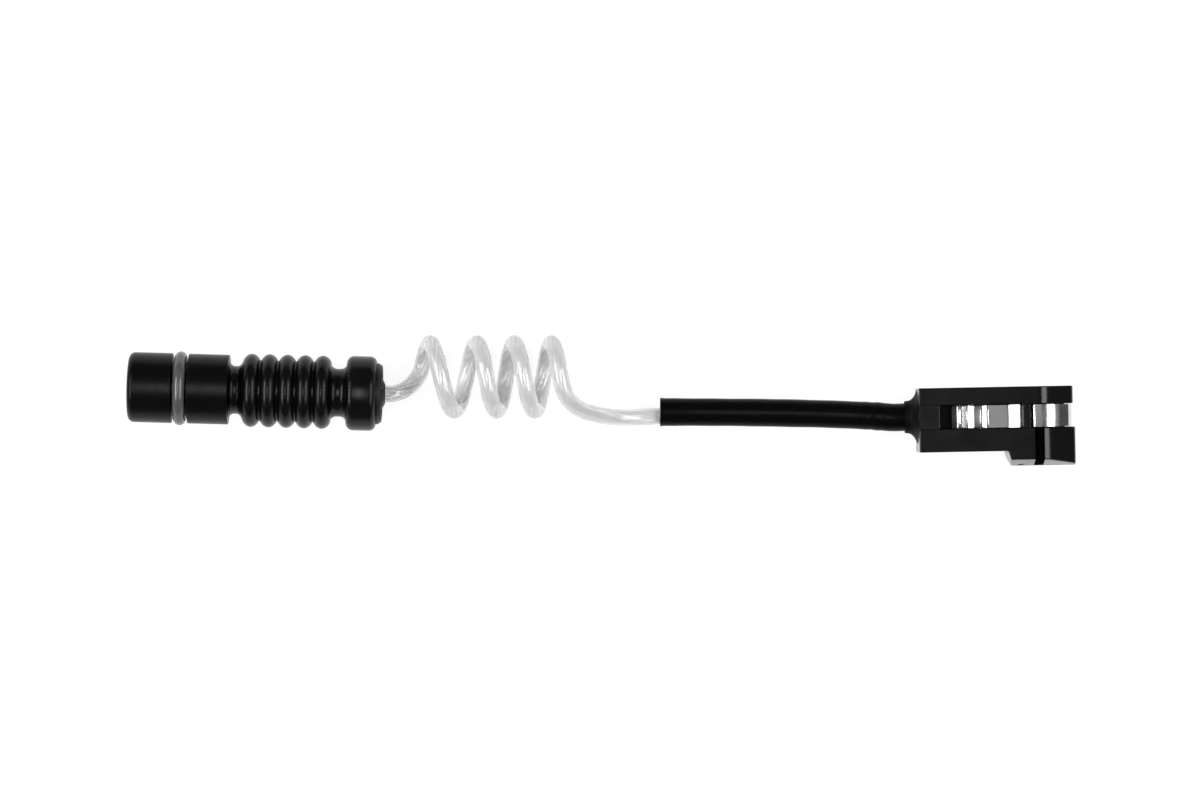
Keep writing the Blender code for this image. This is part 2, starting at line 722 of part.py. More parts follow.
def cut_slot(housing, frame):
    """Narrow slot through the lower flange and the foot, open to the front."""
    outline = rectangle(SLOT_START, SLOT_START + SLOT_WIDTH, FOOT_BOTTOM - CUT_MARGIN, RECESS_BOTTOM)
    depth = HALF_DEPTH + CUT_MARGIN - (SLOT_DEPTH + CUT_MARGIN) / 2
    cut(housing, side_cutter("foot_slot", outline, SLOT_DEPTH + CUT_MARGIN, frame, depth))


def contact_outline(clearance, left):
    """Side view of the contact's blade: along the core, then down into the foot."""
    half = CONTACT_THICKNESS / 2 + clearance
    bottom = FOOT_BOTTOM + CONTACT_COVER - clearance
    return [
        (left, half),
        (left, -half),
        (CONTACT_LEG - half, -half),
        (CONTACT_LEG - half, bottom),
        (CONTACT_LEG + half, bottom),
        (CONTACT_LEG + half, half),
    ]


def cut_lead_passage(housing, frame):
    """Stepped bore for the sleeve and the lead, and the channel of the wear contact."""
    crimp_end = CONTACT_CRIMP_START + CONTACT_CRIMP_LENGTH + FIT_GAP
    mouth = BOSS_LENGTH + CUT_MARGIN
    seat = SLEEVE_ENTRY + FIT_GAP
    profile = [
        (0.0, mouth),
        (SLEEVE_SEAT_RADIUS, mouth),
        (SLEEVE_SEAT_RADIUS, -seat),
        (LEAD_BORE_RADIUS, -seat),
        (LEAD_BORE_RADIUS, -crimp_end),
        (0.0, -crimp_end),
    ]
    bore = turned("lead_passage", profile, frame, closed=False, steps=FINE_STEPS)
    bore.rotation_euler = (0.0, -math.pi / 2, 0.0)
    cut(housing, bore)
    outline = contact_outline(FIT_GAP, crimp_end - FIT_GAP - CRIMP_OVERLAP)
    cut(housing, side_cutter("contact_channel", outline, CONTACT_WIDTH + 2 * FIT_GAP, frame))


def add_boss(housing, frame):
    """Flared boss that the sleeve runs into."""
    tip = BOSS_TIP_DIAMETER / 2
    root = BOSS_ROOT_DIAMETER / 2
    profile = [(0.0, BOSS_LENGTH), (tip, BOSS_LENGTH)]
    for share in (0.35, 0.6, 0.8, 0.92):
        profile.append((tip + (root - tip) * share ** 3, BOSS_LENGTH * (1 - share)))
    profile += [(root, 0.0), (root, -BOSS_LENGTH), (0.0, -BOSS_LENGTH)]
    boss = turned("lead_boss", profile, frame, closed=False, steps=FINE_STEPS)
    boss.rotation_euler = (0.0, -math.pi / 2, 0.0)
    join(housing, boss)


def make_head_housing(frame, material):
    """Moulded housing: block, two flanges, core, posts and the foot that wears down."""
    upper = flange_outline(HEAD_LENGTH)
    lower = flange_outline(HEAD_LENGTH + LOWER_END_PROUD)
    housing = slab("head_housing", [upper], LOWER_FLANGE_BOTTOM, HEAD_TOP, frame, material)
    join(housing, slab("lower_block", [lower], FOOT_BOTTOM, RECESS_BOTTOM, frame))
    add_boss(housing, frame)
    cut_foot_clearance(housing, frame)
    cut_foot_ramps(housing, frame)
    cut_recess(housing, frame)
    cut_slot(housing, frame)
    cut_lead_passage(housing, frame)


def clip_front_path():
    """Outer line of the clip in plan, from its front tip to the start of the round end."""
    high = HALF_DEPTH - CLIP_SET_BACK
    low = high - CLIP_STEP
    behind_post = HALF_DEPTH - CLIP_SET_BACK / 2 - POST_THICKNESS - FIT_GAP
    post_end = POST_START + POST_WIDTH
    return [
        (CLIP_START, low - CLIP_TIP_DROP),
        (CLIP_START + CLIP_TIP_RUN, low),
        (CLIP_RIDGE - CLIP_RIDGE_HALF_WIDTH, low),
        (CLIP_RIDGE, high),
        (CLIP_RIDGE + CLIP_RIDGE_HALF_WIDTH, low),
        (CLIP_RISE_END - CLIP_RISE_RUN, low),
        (CLIP_RISE_END, high),
        (CLIP_FALL_START, high),
        (POST_START - FIT_GAP, behind_post),
        (post_end + FIT_GAP, behind_post),
        (post_end + CLIP_REJOIN_RUN, high),
    ]


def make_retaining_clip(frame, material):
    """Spring strip wrapped round the core, inside the recess."""
    front = clip_front_path()
    back = [(x, -z) for x, z in reversed(front)]
    radius = HALF_DEPTH - CLIP_SET_BACK
    plan = front + list(reversed(arc((END_CENTRE, 0.0), radius, -90, 90, END_STEPS))) + back
    half_height = (RECESS_TOP - RECESS_BOTTOM) / 2 - FIT_GAP
    mesh = bpy.data.meshes.new("retaining_clip")
    shape = bmesh.new()
    points = [shape.verts.new((x, half_height, z)) for x, z in plan]
    edges = [shape.edges.new(pair) for pair in zip(points, points[1:])]
    strip = bmesh.ops.extrude_edge_only(shape, edges=edges)
    lowered = [item for item in strip["geom"] if isinstance(item, bmesh.types.BMVert)]
    bmesh.ops.translate(shape, verts=lowered, vec=(0.0, -2 * half_height, 0.0))
    bmesh.ops.recalc_face_normals(shape, faces=shape.faces)
    shape.to_mesh(mesh)
    shape.free()
    clip = bpy.data.objects.new("retaining_clip", mesh)
    clip.location = (0.0, (RECESS_TOP + RECESS_BOTTOM) / 2, 0.0)
    wall = clip.modifiers.new("sheet", "SOLIDIFY")
    wall.thickness = CLIP_THICKNESS
    wall.offset = -1.0
    wall.use_even_offset = True
    place(clip, frame, material)


def make_wear_contact(frame, material):
    """Stamped contact: crimp barrel, blade along the core and the leg in the foot."""
    crimp_end = CONTACT_CRIMP_START + CONTACT_CRIMP_LENGTH
    outline = contact_outline(0.0, crimp_end - CRIMP_OVERLAP)
    contact = as_mesh(flat_outline("wear_contact", [outline], CONTACT_WIDTH, frame, material))
    profile = [
        (CONDUCTOR_BORE_RADIUS, -CONTACT_CRIMP_START),
        (LEAD_RADIUS, -CONTACT_CRIMP_START),
        (LEAD_RADIUS, -crimp_end),
        (CONDUCTOR_BORE_RADIUS, -crimp_end),
    ]
    barrel = turned("contact_barrel", profile, frame, steps=FINE_STEPS)
    barrel.rotation_euler = (0.0, -math.pi / 2, 0.0)
    join(contact, barrel)


def make_head(materials):
    """Everything on the head: local X runs from its lead face to its far end."""
    tilt = math.radians(HEAD_TILT_DEG)
    frame = make_frame("head_axis", (HEAD_FACE_X, HEAD_AXIS_Y, HALF_DEPTH), (0.0, 0.0, tilt))
    make_head_housing(frame, materials["head_plastic"])
    make_retaining_clip(frame, materials["spring_steel"])
    make_wear_contact(frame, materials["brass"])


def make_materials():
    return {
        "plug_plastic": make_material("plug_plastic", 0.018, 0.5),
        "boot_rubber": make_material("boot_rubber", 0.02, 0.6),
        "seal_rubber": make_material("seal_rubber", 0.025, 0.65),
        "ring_rubber": make_material("ring_rubber", 0.16, 0.55),
        "sleeve_film": make_material("sleeve_film", 0.01, 0.35),
        "head_plastic": make_material("head_plastic", 0.02, 0.45),
        "insulation": make_material("insulation", 0.72, 0.25),
        "strands": make_material("strands", 0.8, 0.3, 1.0, (1.0, 0.97, 0.93)),
        "brass": make_material("brass", 0.78, 0.3, 1.0, (1.0, 0.83, 0.52)),
        "spring_steel": make_material("spring_steel", 0.72, 0.22, 1.0),
    }


def shade_meshes():
    for obj in PARTS.objects:
        if obj.type == "MESH":
            shade(obj)


def build():
    materials = make_materials()
    root = make_frame("sensor_root", (0.0, 0.0, 0.0), (0.0, 0.0, 0.0))
    make_plug(materials)
    make_free_lead(root, materials["insulation"])
    make_sleeve(root, materials["sleeve_film"])
    make_head_lead_end(root, materials["insulation"])
    make_head_conductor(root, materials["strands"])
    make_head(materials)
    shade_meshes()


build()
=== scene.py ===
# %% [markdown]
# This script dresses one brake pad wear sensor: a sealed round plug, a curly pale lead, a black sleeve
# and a slotted head with a spring clip. It starts by loading the solid model as a fixed frame, in
# metres. Everything made below has to sit where that frame says.

# %% Load the frame
import math

import bpy
import bmesh
from mathutils import Euler, Matrix, Vector


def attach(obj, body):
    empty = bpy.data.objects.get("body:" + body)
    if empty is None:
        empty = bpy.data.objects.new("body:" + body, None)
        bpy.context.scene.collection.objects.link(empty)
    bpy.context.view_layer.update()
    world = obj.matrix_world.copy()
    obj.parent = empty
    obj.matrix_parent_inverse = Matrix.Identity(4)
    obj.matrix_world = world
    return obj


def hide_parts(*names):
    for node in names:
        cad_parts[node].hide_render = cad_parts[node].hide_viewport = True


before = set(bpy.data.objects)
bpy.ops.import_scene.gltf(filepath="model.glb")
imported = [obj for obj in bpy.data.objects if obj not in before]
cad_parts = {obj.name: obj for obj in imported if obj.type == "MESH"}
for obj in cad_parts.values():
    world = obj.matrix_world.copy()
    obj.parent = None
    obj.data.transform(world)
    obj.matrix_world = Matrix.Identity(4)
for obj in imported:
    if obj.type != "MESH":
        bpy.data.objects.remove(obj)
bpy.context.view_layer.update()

MM = 0.001
print("solid nodes:", len(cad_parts))

# %% [markdown]
# The camera comes first, because the picture decides which details matter. The sensor lies on a pale
# table and is seen from straight above. A long lens half a metre away keeps the shape almost free of
# perspective, yet it still shows a little of the head's left side and of the foot's slanted side, as a
# real close-up does. The scale of the view is set at the height of the plug's middle.

# %% Camera above the table
VIEW_WIDTH = 108.0 * MM
VIEW_HEIGHT = 520.0 * MM
SHARP_LEVEL = 3.3 * MM
VIEW_CENTRE_Y = 0.53 * MM

lens_view = bpy.data.cameras.new("camera")
lens_view.sensor_width = 36.0
lens_view.lens = lens_view.sensor_width * VIEW_HEIGHT / VIEW_WIDTH
lens_view.clip_start = 0.01
lens_view.clip_end = 20.0
camera = bpy.data.objects.new("camera", lens_view)
camera.location = (0.0, VIEW_CENTRE_Y, SHARP_LEVEL + VIEW_HEIGHT)
bpy.context.scene.collection.objects.link(camera)
bpy.context.scene.camera = camera
print("lens: %.0f mm" % lens_view.lens)

# %% [markdown]
# The lead is one insulated wire. It leaves the plug, dips to the table, winds round three and a third
# times as a spring that lets the pad move, and slides into the sleeve. The route is written as a few
# loose points before and after the coil. The coil itself is worked out turn by turn: the angle runs
# evenly, and the crests say how far along the sensor each half turn has come. A smooth curve through
# all of it keeps one wire with no kink where the stretches meet.

# %% Route of the lead
COIL_RADIUS = 3.05
COIL_CENTRE = (2.83, 3.8)
COIL_FIRST_ANGLE = -45
COIL_LAST_ANGLE = 1155
COIL_ANGLE_STEP = 15
HALF_TURN_STATIONS = (-17.25, -15.30, -13.095, -11.07, -9.27, -7.74, -5.85, -4.365, -2.7)
PLUG_EXIT = (-19.32, 1.29, 3.35)
BEFORE_COIL = (
    (-18.84, 1.29, 3.33),
    (-18.42, 1.35, 3.21),
    (-18.06, 1.46, 3.01),
    (-17.74, 1.60, 2.75),
    (-17.45, 1.78, 2.46),
    (-17.17, 2.00, 2.14),
    (-16.90, 2.26, 1.84),
    (-16.64, 2.57, 1.56),
    (-16.41, 2.94, 1.34),
    (-16.22, 3.35, 1.20),
    (-16.07, 3.80, 1.15),
    (-15.96, 4.25, 1.21),
    (-15.87, 4.67, 1.40),
)
AFTER_COIL = (
    (-3.57, 3.04, 6.84),
    (-3.42, 2.32, 6.81),
    (-3.22, 1.64, 6.63),
    (-2.95, 1.05, 6.32),
    (-2.60, 0.57, 5.92),
    (-2.18, 0.19, 5.44),
    (-1.71, -0.09, 4.92),
    (-1.20, -0.31, 4.39),
    (-0.54, -0.49, 3.72),
    (0.18, -0.65, 3.20),
    (0.90, -0.74, 2.72),
    (1.62, -0.80, 2.30),
    (2.34, -0.83, 1.96),
    (3.06, -0.81, 1.70),
    (4.14, -0.76, 1.42),
    (5.18, -0.70, 1.28),
    (6.20, -0.63, 1.24),
)
print("loose points:", len(BEFORE_COIL) + len(AFTER_COIL))

# %% [markdown]
# Three small functions turn those points into one line. The first reads a smooth curve through all of
# them, the second says where the wire lies at an angle of the coil, and the third measures a line. The
# result is the middle line of the wire in metres, and its length is printed.

# %% Middle line of the lead
ROUTE_SPAN_STEPS = 3


def smooth_through(points, per_span):
    """Points read from a smooth curve that passes through all of the given ones."""
    known = [Vector(point) for point in points]
    padded = [known[0] * 2 - known[1]] + known + [known[-1] * 2 - known[-2]]
    line = []
    for index in range(1, len(padded) - 2):
        before, start, end, after = padded[index - 1:index + 3]
        for step in range(per_span):
            t = step / per_span
            bend = 2 * before - 5 * start + 4 * end - after
            twist = 3 * start - before - 3 * end + after
            line.append((2 * start + (end - before) * t + bend * t ** 2 + twist * t ** 3) / 2)
    return line + [known[-1]]


def coil_point(degrees):
    """The middle of the wire at an angle of the coil: 0 is a crest, 90 is nearest the camera."""
    turns = degrees / 180 + 1
    index = min(int(turns), len(HALF_TURN_STATIONS) - 2)
    near, far = HALF_TURN_STATIONS[index:index + 2]
    along = near + (far - near) * (turns - index)
    angle = math.radians(degrees)
    across = COIL_CENTRE[0] + COIL_RADIUS * math.cos(angle)
    height = COIL_CENTRE[1] + COIL_RADIUS * math.sin(angle)
    return (along, across, height)


def length_of(points):
    return sum((b - a).length for a, b in zip(points, points[1:]))


coil_points = [coil_point(a) for a in range(COIL_FIRST_ANGLE, COIL_LAST_ANGLE + 1, COIL_ANGLE_STEP)]
route = [PLUG_EXIT, *BEFORE_COIL, *coil_points, *AFTER_COIL]
lead_line = [point * MM for point in smooth_through(route, ROUTE_SPAN_STEPS)]
print("free lead: %.1f mm" % (length_of(lead_line) / MM))

# %% [markdown]
# Everything long and round here, the lead, its strands and the sleeve, is a bar along a line of points.
# A Blender curve draws such a bar by itself, with a thickness that may change from point to point. Only
# its mesh is kept, because a mesh takes modifiers and is measured as it looks.

# %% Bars along a line
def evaluated_mesh(obj):
    """A new mesh of what an object looks like with its modifiers."""
    bpy.context.view_layer.update()
    graph = bpy.context.evaluated_depsgraph_get()
    return bpy.data.meshes.new_from_object(obj.evaluated_get(graph))


def bar(name, lines, diameter, fineness, swell=None, capped=True):
    """Round bars along lines of points, made as a curve and kept as a mesh."""
    curve = bpy.data.curves.new(name, "CURVE")
    curve.dimensions = "3D"
    curve.bevel_depth = diameter / 2
    curve.bevel_resolution = fineness
    curve.use_fill_caps = capped
    for line in lines:
        spline = curve.splines.new("POLY")
        spline.points.add(len(line) - 1)
        for index, (point, place) in enumerate(zip(spline.points, line)):
            point.co = (*place, 1.0)
            point.radius = swell[index] if swell else 1.0
    drawn = bpy.data.objects.new(name + "_line", curve)
    bpy.context.scene.collection.objects.link(drawn)
    obj = bpy.data.objects.new(name, evaluated_mesh(drawn))
    bpy.context.scene.collection.objects.link(obj)
    bpy.data.objects.remove(drawn, do_unlink=True)
    obj.data.shade_smooth()
    return obj


print("bars along a line: ready")

# %% [markdown]
# The wire is silver-plated strands in a cloudy, waxy fluorinated jacket, and light shines into it. One
# could fake that with a grey paint. Here the strands are really modelled, seven thin wires twisted
# together, and the jacket is a smooth bar round them, so the twist shows through it from any side. The
# strands need a direction that turns with them without flipping, so a sideways vector is carried along
# the line and straightened at each point.

# %% Strands and jacket
LEAD_DIAMETER = 1.5 * MM
STRAND_DIAMETER = 0.27 * MM
OUTER_STRANDS = 6
TWIST_PITCH = 9.0 * MM


def twisted(line, radius, phase, pitch):
    """A line wound round another one."""
    side = Vector((0.0, 0.0, 1.0))
    travelled = 0.0
    wound = []
    for index, point in enumerate(line):
        ahead = line[min(index + 1, len(line) - 1)] - line[max(index - 1, 0)]
        ahead.normalize()
        side = (side - ahead * side.dot(ahead)).normalized()
        if index:
            travelled += (point - line[index - 1]).length
        turn = phase + 2 * math.pi * travelled / pitch
        wound.append(point + radius * (side * math.cos(turn) + ahead.cross(side) * math.sin(turn)))
    return wound


lead = bar("lead", [lead_line], LEAD_DIAMETER, fineness=6)
strand_lines = [lead_line]
for number in range(OUTER_STRANDS):
    phase = 2 * math.pi * number / OUTER_STRANDS
    strand_lines.append(twisted(lead_line, STRAND_DIAMETER, phase, TWIST_PITCH))
strands = bar("lead_strands", strand_lines, STRAND_DIAMETER, fineness=1)
for part in (lead, strands):
    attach(part, "root")
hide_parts("lead_front", "lead_coil", "lead_rear")
round(length_of(lead_line), 4)
print("strands:", len(strand_lines))

# %% [markdown]
# The plug, its boot and its seals are all round, so each one is a half outline turned once about the
# plug's axis. Bevelling a cylinder ring by ring would work as well, but an outline keeps every groove
# and rounding in one short list. The outline is written in millimetres as radius and station, where
# station 0 is the wire's exit and the nose is at the other end. A third number rounds that corner.

# %% Turning an outline
PLUG_TILT = math.radians(-1.6)
TURN_STEPS = 96
MERGE_DISTANCE = 0.0005

plug_turn = Euler((0.0, -math.pi / 2, PLUG_TILT)).to_matrix().to_4x4()
plug_place = Matrix.Translation(Vector(PLUG_EXIT) * MM) @ plug_turn


def eased(corners, steps=5):
    """A closed outline whose corners are rounded: each corner is x, y and an optional rounding."""
    line = []
    for index, (x, y, *rounding) in enumerate(corners):
        corner = Vector((x, y))
        if not rounding:
            line.append(corner)
            continue
        back = (Vector(corners[index - 1][:2]) - corner).normalized()
        ahead = (Vector(corners[(index + 1) % len(corners)][:2]) - corner).normalized()
        half = back.angle(ahead) / 2
        reach = rounding[0] / math.tan(half)
        centre = corner + (back + ahead).normalized() * rounding[0] / math.sin(half)
        start = (corner + back * reach - centre).normalized()
        end = (corner + ahead * reach - centre).normalized()
        line += [centre + start.slerp(end, step / steps) * rounding[0] for step in range(steps + 1)]
    return line


def turned(outline, steps=TURN_STEPS):
    """A closed outline of radius and station, turned once about local Z."""
    shape = bmesh.new()
    points = [shape.verts.new((radius, 0.0, station)) for radius, station in outline]
    edges = [shape.edges.new(pair) for pair in zip(points, points[1:] + points[:1])]
    bmesh.ops.spin(
        shape, geom=points + edges, cent=(0, 0, 0), axis=(0, 0, 1), dvec=(0, 0, 0),
        angle=2 * math.pi, steps=steps, use_merge=True, use_normal_flip=False, use_duplicate=False,
    )
    bmesh.ops.remove_doubles(shape, verts=shape.verts, dist=MERGE_DISTANCE)
    on_axis = [edge for edge in shape.edges if not edge.link_faces]
    bmesh.ops.delete(shape, geom=on_axis, context="EDGES")
    bmesh.ops.recalc_face_normals(shape, faces=shape.faces)
    return shape


print("plug axis: %.1f degrees off the sensor's length" % math.degrees(PLUG_TILT))

# %% [markdown]
# A bmesh is only a shape in the making. One helper keeps it as an object and reports any open edge. The
# other finishes a piece: it scales the mesh from millimetres and moves it into its place, so that the
# object itself stays at the origin, keeps hard corners sharp, and hides the node that it stands for.

# %% Making and placing a piece
SHARP_ANGLE = math.radians(32)


def object_from(name, shape):
    """A linked object that holds a shape, which is freed."""
    mesh = bpy.data.meshes.new(name)
    open_edges = sum(1 for edge in shape.edges if not edge.is_manifold)
    shape.to_mesh(mesh)
    shape.free()
    obj = bpy.data.objects.new(name, mesh)
    bpy.context.scene.collection.objects.link(obj)
    if open_edges:
        print("open edges in", name, open_edges)
    return obj


def settle(obj, place, node):
    """Scales a finished piece from millimetres, puts it in its place and lets it stand for its node."""
    mesh = obj.data
    mesh.transform(place @ Matrix.Scale(MM, 4))
    mesh.shade_smooth()
    mesh.set_sharp_from_angle(angle=SHARP_ANGLE)
    flats = obj.modifiers.new("flat faces stay flat", "WEIGHTED_NORMAL")
    flats.keep_sharp = True
    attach(obj, "root")
    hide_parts(node)
    print(obj.name, len(mesh.polygons), "faces")
    return obj


print("corners over %.0f degrees stay sharp" % math.degrees(SHARP_ANGLE))

# %% [markdown]
# The plug body is a hard moulding: a blunt nose that enters the socket, a groove for the sealing ring,
# a land, and a thin spigot that the boot grips. Every outer edge is broken a little, because moulded
# edges are never knife-sharp, and a thin light line runs along each one in the photograph.

# %% Plug body
NOSE_FRONT = 23.10
GROOVE_FRONT = 19.17
GROOVE_REAR = 17.73
SHOULDER = 14.08
SPIGOT_END = 7.68
BARB_START = SPIGOT_END + 1.2
SOCKET_FLOOR = 18.90
NOSE_RADIUS = 3.15
MOUTH_RADIUS = 2.1
GROOVE_RADIUS = 2.18
LAND_RADIUS = 3.14
BARB_RADIUS = 1.7
SPIGOT_RADIUS = 1.5
SOCKET_RADIUS = 1.8
BORE_RADIUS = 1.25

body_outline = [
    (MOUTH_RADIUS, NOSE_FRONT, 0.12),
    (NOSE_RADIUS, NOSE_FRONT, 0.55),
    (NOSE_RADIUS, GROOVE_FRONT, 0.08),
    (GROOVE_RADIUS, GROOVE_FRONT),
    (GROOVE_RADIUS, GROOVE_REAR),
    (LAND_RADIUS, GROOVE_REAR, 0.08),
    (LAND_RADIUS, SHOULDER, 0.08),
    (SPIGOT_RADIUS, SHOULDER),
    (SPIGOT_RADIUS, BARB_START),
    (BARB_RADIUS, BARB_START, 0.04),
    (SPIGOT_RADIUS, SPIGOT_END),
    (BORE_RADIUS, SPIGOT_END),
    (BORE_RADIUS, SOCKET_FLOOR),
    (SOCKET_RADIUS, SOCKET_FLOOR),
    (SOCKET_RADIUS, NOSE_FRONT - 0.3),
]
plug_body = object_from("plug_shell", turned(eased(body_outline)))
settle(plug_body, plug_place, "plug_body")

# %% [markdown]
# The sealing ring is a round-section ring of grey rubber. It is a small circle turned about the same
# axis, a little proud of the nose, because it has to be squeezed by the socket. A fine parting line
# runs round its outside, where the two halves of its mould met.

# %% Sealing ring
RING_CENTRE = (2.78, 18.45)
RING_SECTION = 0.55
RING_STEPS = 32
FLASH_HEIGHT = 0.012

ring_outline = []
for step in range(RING_STEPS):
    angle = 2 * math.pi * step / RING_STEPS
    reach = RING_SECTION + (FLASH_HEIGHT if step == 0 else 0.0)
    radius = RING_CENTRE[0] + reach * math.cos(angle)
    ring_outline.append((radius, RING_CENTRE[1] - reach * math.sin(angle)))
ring = object_from("ring", turned(ring_outline))
settle(ring, plug_place, "sealing_ring")

# %% [markdown]
# The boot is soft rubber: a flared neck, five round ribs that let the wire bend, a second neck and a
# round collar. Each rib is half a wave of the outline, so the ribs run into each other in soft valleys
# rather than in grooves.

# %% Ribbed boot
RIB_COUNT = 5
RIB_PITCH = 1.6
FRONT_CREST = 12.06
RIB_TOP = 3.3
RIB_VALLEY = 2.74
RIB_HALF_WIDTH = 0.74
RIB_STEPS = 16
RIB_SHARPNESS = 1.6
COLLAR_FRONT = 3.5
COLLAR_REAR = 0.8
NECK_RADIUS = 2.15
NECK_FLARE = 0.34
NECK_STEPS = 10
NECK_INSET = 0.03
BOOT_FRONT = SHOULDER - 0.05
COLLAR_RADIUS = 3.35
SEAT_RADIUS = 2.8
SEAT_FLOOR = 1.7
LEAD_BORE = 0.8
SPIGOT_BORE = 1.55
BARB_BORE = 1.75


def rib(crest):
    """One rib from its front foot to its rear foot."""
    line = []
    for step in range(RIB_STEPS + 1):
        angle = math.radians(90 - 180 * step / RIB_STEPS)
        swell = max(0.0, math.cos(angle)) ** RIB_SHARPNESS
        radius = RIB_VALLEY + (RIB_TOP - RIB_VALLEY) * swell
        line.append((radius, crest + RIB_HALF_WIDTH * math.sin(angle)))
    return line


def neck(front, rear):
    """A neck that flares at both ends."""
    line = []
    for step in range(NECK_STEPS + 1):
        share = NECK_INSET + (1 - 2 * NECK_INSET) * step / NECK_STEPS
        flare = NECK_FLARE * abs(2 * share - 1) ** 3
        line.append((NECK_RADIUS + flare, front + (rear - front) * share))
    return line


boot_outline = [(SPIGOT_BORE, BOOT_FRONT), (NECK_RADIUS + NECK_FLARE, BOOT_FRONT)]
boot_outline += neck(BOOT_FRONT, FRONT_CREST + RIB_HALF_WIDTH + 0.1)
for number in range(RIB_COUNT):
    boot_outline += rib(FRONT_CREST - number * RIB_PITCH)
boot_outline += neck(FRONT_CREST - (RIB_COUNT - 1) * RIB_PITCH - RIB_HALF_WIDTH, COLLAR_FRONT)
boot_outline += eased([
    (2.46, COLLAR_FRONT),
    (COLLAR_RADIUS, COLLAR_FRONT, 0.62),
    (COLLAR_RADIUS, COLLAR_REAR, 0.6),
    (SEAT_RADIUS, COLLAR_REAR),
    (SEAT_RADIUS, SEAT_FLOOR),
    (LEAD_BORE, SEAT_FLOOR),
    (LEAD_BORE, SPIGOT_END - 0.05),
    (BARB_BORE, SPIGOT_END - 0.05),
    (BARB_BORE, SPIGOT_END + 1.25),
    (SPIGOT_BORE, SPIGOT_END + 1.25),
])
boot = object_from("boot_rubber", turned(boot_outline))
settle(boot, plug_place, "boot")

# %% [markdown]
# The wire seal closes the collar's rear end. It is a disc with a low cone round the wire, and a shallow
# step round its rim catches a thin line of light.

# %% Wire seal
seal_outline = eased([
    (LEAD_BORE, 1.65),
    (2.75, 1.65),
    (2.75, 0.62, 0.1),
    (2.52, 0.3, 0.06),
    (2.35, 0.3, 0.05),
    (2.25, 0.42, 0.05),
    (1.5, 0.42, 0.1),
    (1.25, 0.2, 0.08),
    (0.85, 0.0, 0.03),
    (LEAD_BORE, 0.0),
])
seal = object_from("rear_seal", turned(seal_outline))
settle(seal, plug_place, "wire_seal")

# %% [markdown]
# The sleeve is a thin black tube pulled over the lead. A tube of constant size would look like a rod, so
# its outline swells and narrows a little along the way, its cut mouth flares into a lip, and it is
# wrinkled where it was pushed up against the head. The tube is one long curve whose points carry their
# own size, made a mesh so that the Solidify modifier can give it a wall and an open mouth.

# %% Sleeve
SLEEVE_DIAMETER = 2.5 * MM
SLEEVE_WALL = 0.15 * MM
SLEEVE_ROUTE = (
    (5.45, -0.33, 1.33),
    (9.00, -0.34, 1.34),
    (13.00, -0.37, 1.56),
    (17.00, -0.43, 1.92),
    (21.00, -0.53, 2.38),
    (24.60, -0.69, 2.78),
)
HEAD_ORIGIN = (28.57, -0.77, 3.0)
HEAD_TILT = math.radians(1.1)
BOSS_TIP = -1.15
SLEEVE_ENTRY = 0.6
SLEEVE_SPAN_STEPS = 28
LIP_SWELL = 0.045
LIP_LENGTH = 0.16
WRINKLE_SWELL = 0.016
WRINKLE_PACE = 5.2
WRINKLE_PLACE = 19.3
WRINKLE_LENGTH = 0.9
LONG_WAVES = ((0.006, 1.7, 0.0), (0.005, 0.63, 1.1))
head_place = Matrix.Translation(Vector(HEAD_ORIGIN) * MM) @ Matrix.Rotation(HEAD_TILT, 4, "Z")


def head_point(along):
    """A point on the head's wire axis, in millimetres of the whole sensor."""
    return head_place @ Vector((along * MM, 0.0, 0.0)) / MM


def sleeve_swell(along):
    """How much wider the sleeve is than its mean, at a station in millimetres from its mouth."""
    lip = LIP_SWELL * math.exp(-(along / LIP_LENGTH) ** 2)
    near_head = math.exp(-((along - WRINKLE_PLACE) / WRINKLE_LENGTH) ** 2)
    wrinkles = WRINKLE_SWELL * math.sin(along * WRINKLE_PACE) * near_head
    waves = sum(swell * math.sin(along * pace + shift) for swell, pace, shift in LONG_WAVES)
    return 1.0 + lip + wrinkles + waves


sleeve_knots = list(SLEEVE_ROUTE)
for along in (2 * BOSS_TIP, BOSS_TIP, SLEEVE_ENTRY):
    sleeve_knots.append(head_point(along))
sleeve_line = [point * MM for point in smooth_through(sleeve_knots, SLEEVE_SPAN_STEPS)]
stations = [0.0]
for before, after in zip(sleeve_line, sleeve_line[1:]):
    stations.append(stations[-1] + (after - before).length / MM)
swells = [sleeve_swell(along) for along in stations]
sleeve = bar("sleeve_tube", [sleeve_line], SLEEVE_DIAMETER, fineness=8, swell=swells, capped=False)
wall = sleeve.modifiers.new("wall", "SOLIDIFY")
wall.thickness = SLEEVE_WALL
wall.offset = -1.0
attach(sleeve, "root")
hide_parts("sleeve")
print("sleeve: %.1f mm" % stations[-1])

# %% [markdown]
# Inside the sleeve and the head the lead simply goes on. It shows only in the sleeve's open mouth, where
# a free lead that stopped at once would look cut off. It follows the sleeve's own line, from where the
# free lead ends to the head's passage.

# %% Lead inside the sleeve
HELD_START = 9.5 * MM
LEAD_TIP = 2.35

held_line = [lead_line[-1]] + [point for point in sleeve_line if point.x > HELD_START]
held_line.append(head_point(LEAD_TIP) * MM)
held_lead = bar("lead_in_sleeve", [held_line], LEAD_DIAMETER, fineness=4)
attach(held_lead, "root")
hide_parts("lead_head_end")
print("held lead: %.1f mm" % (length_of(held_line) / MM))

# %% [markdown]
# The head is one moulding, but it reads as plates: an upper flange, a block on the wire's side, a core
# that the clip hugs, and a lower flange with the foot that wears away. Each of these is made on its own
# as a flat outline pulled up into a plate, with its edges rounded by the bevel operator while it is
# still simple. Boolean modifiers then join them. Doing the bevels last, on the joined shape, would
# leave ragged corners where plates meet. The far end of each flange slopes in from both sides to a
# blunt nose, and the soft bend at the start of a slope catches one stripe of light.

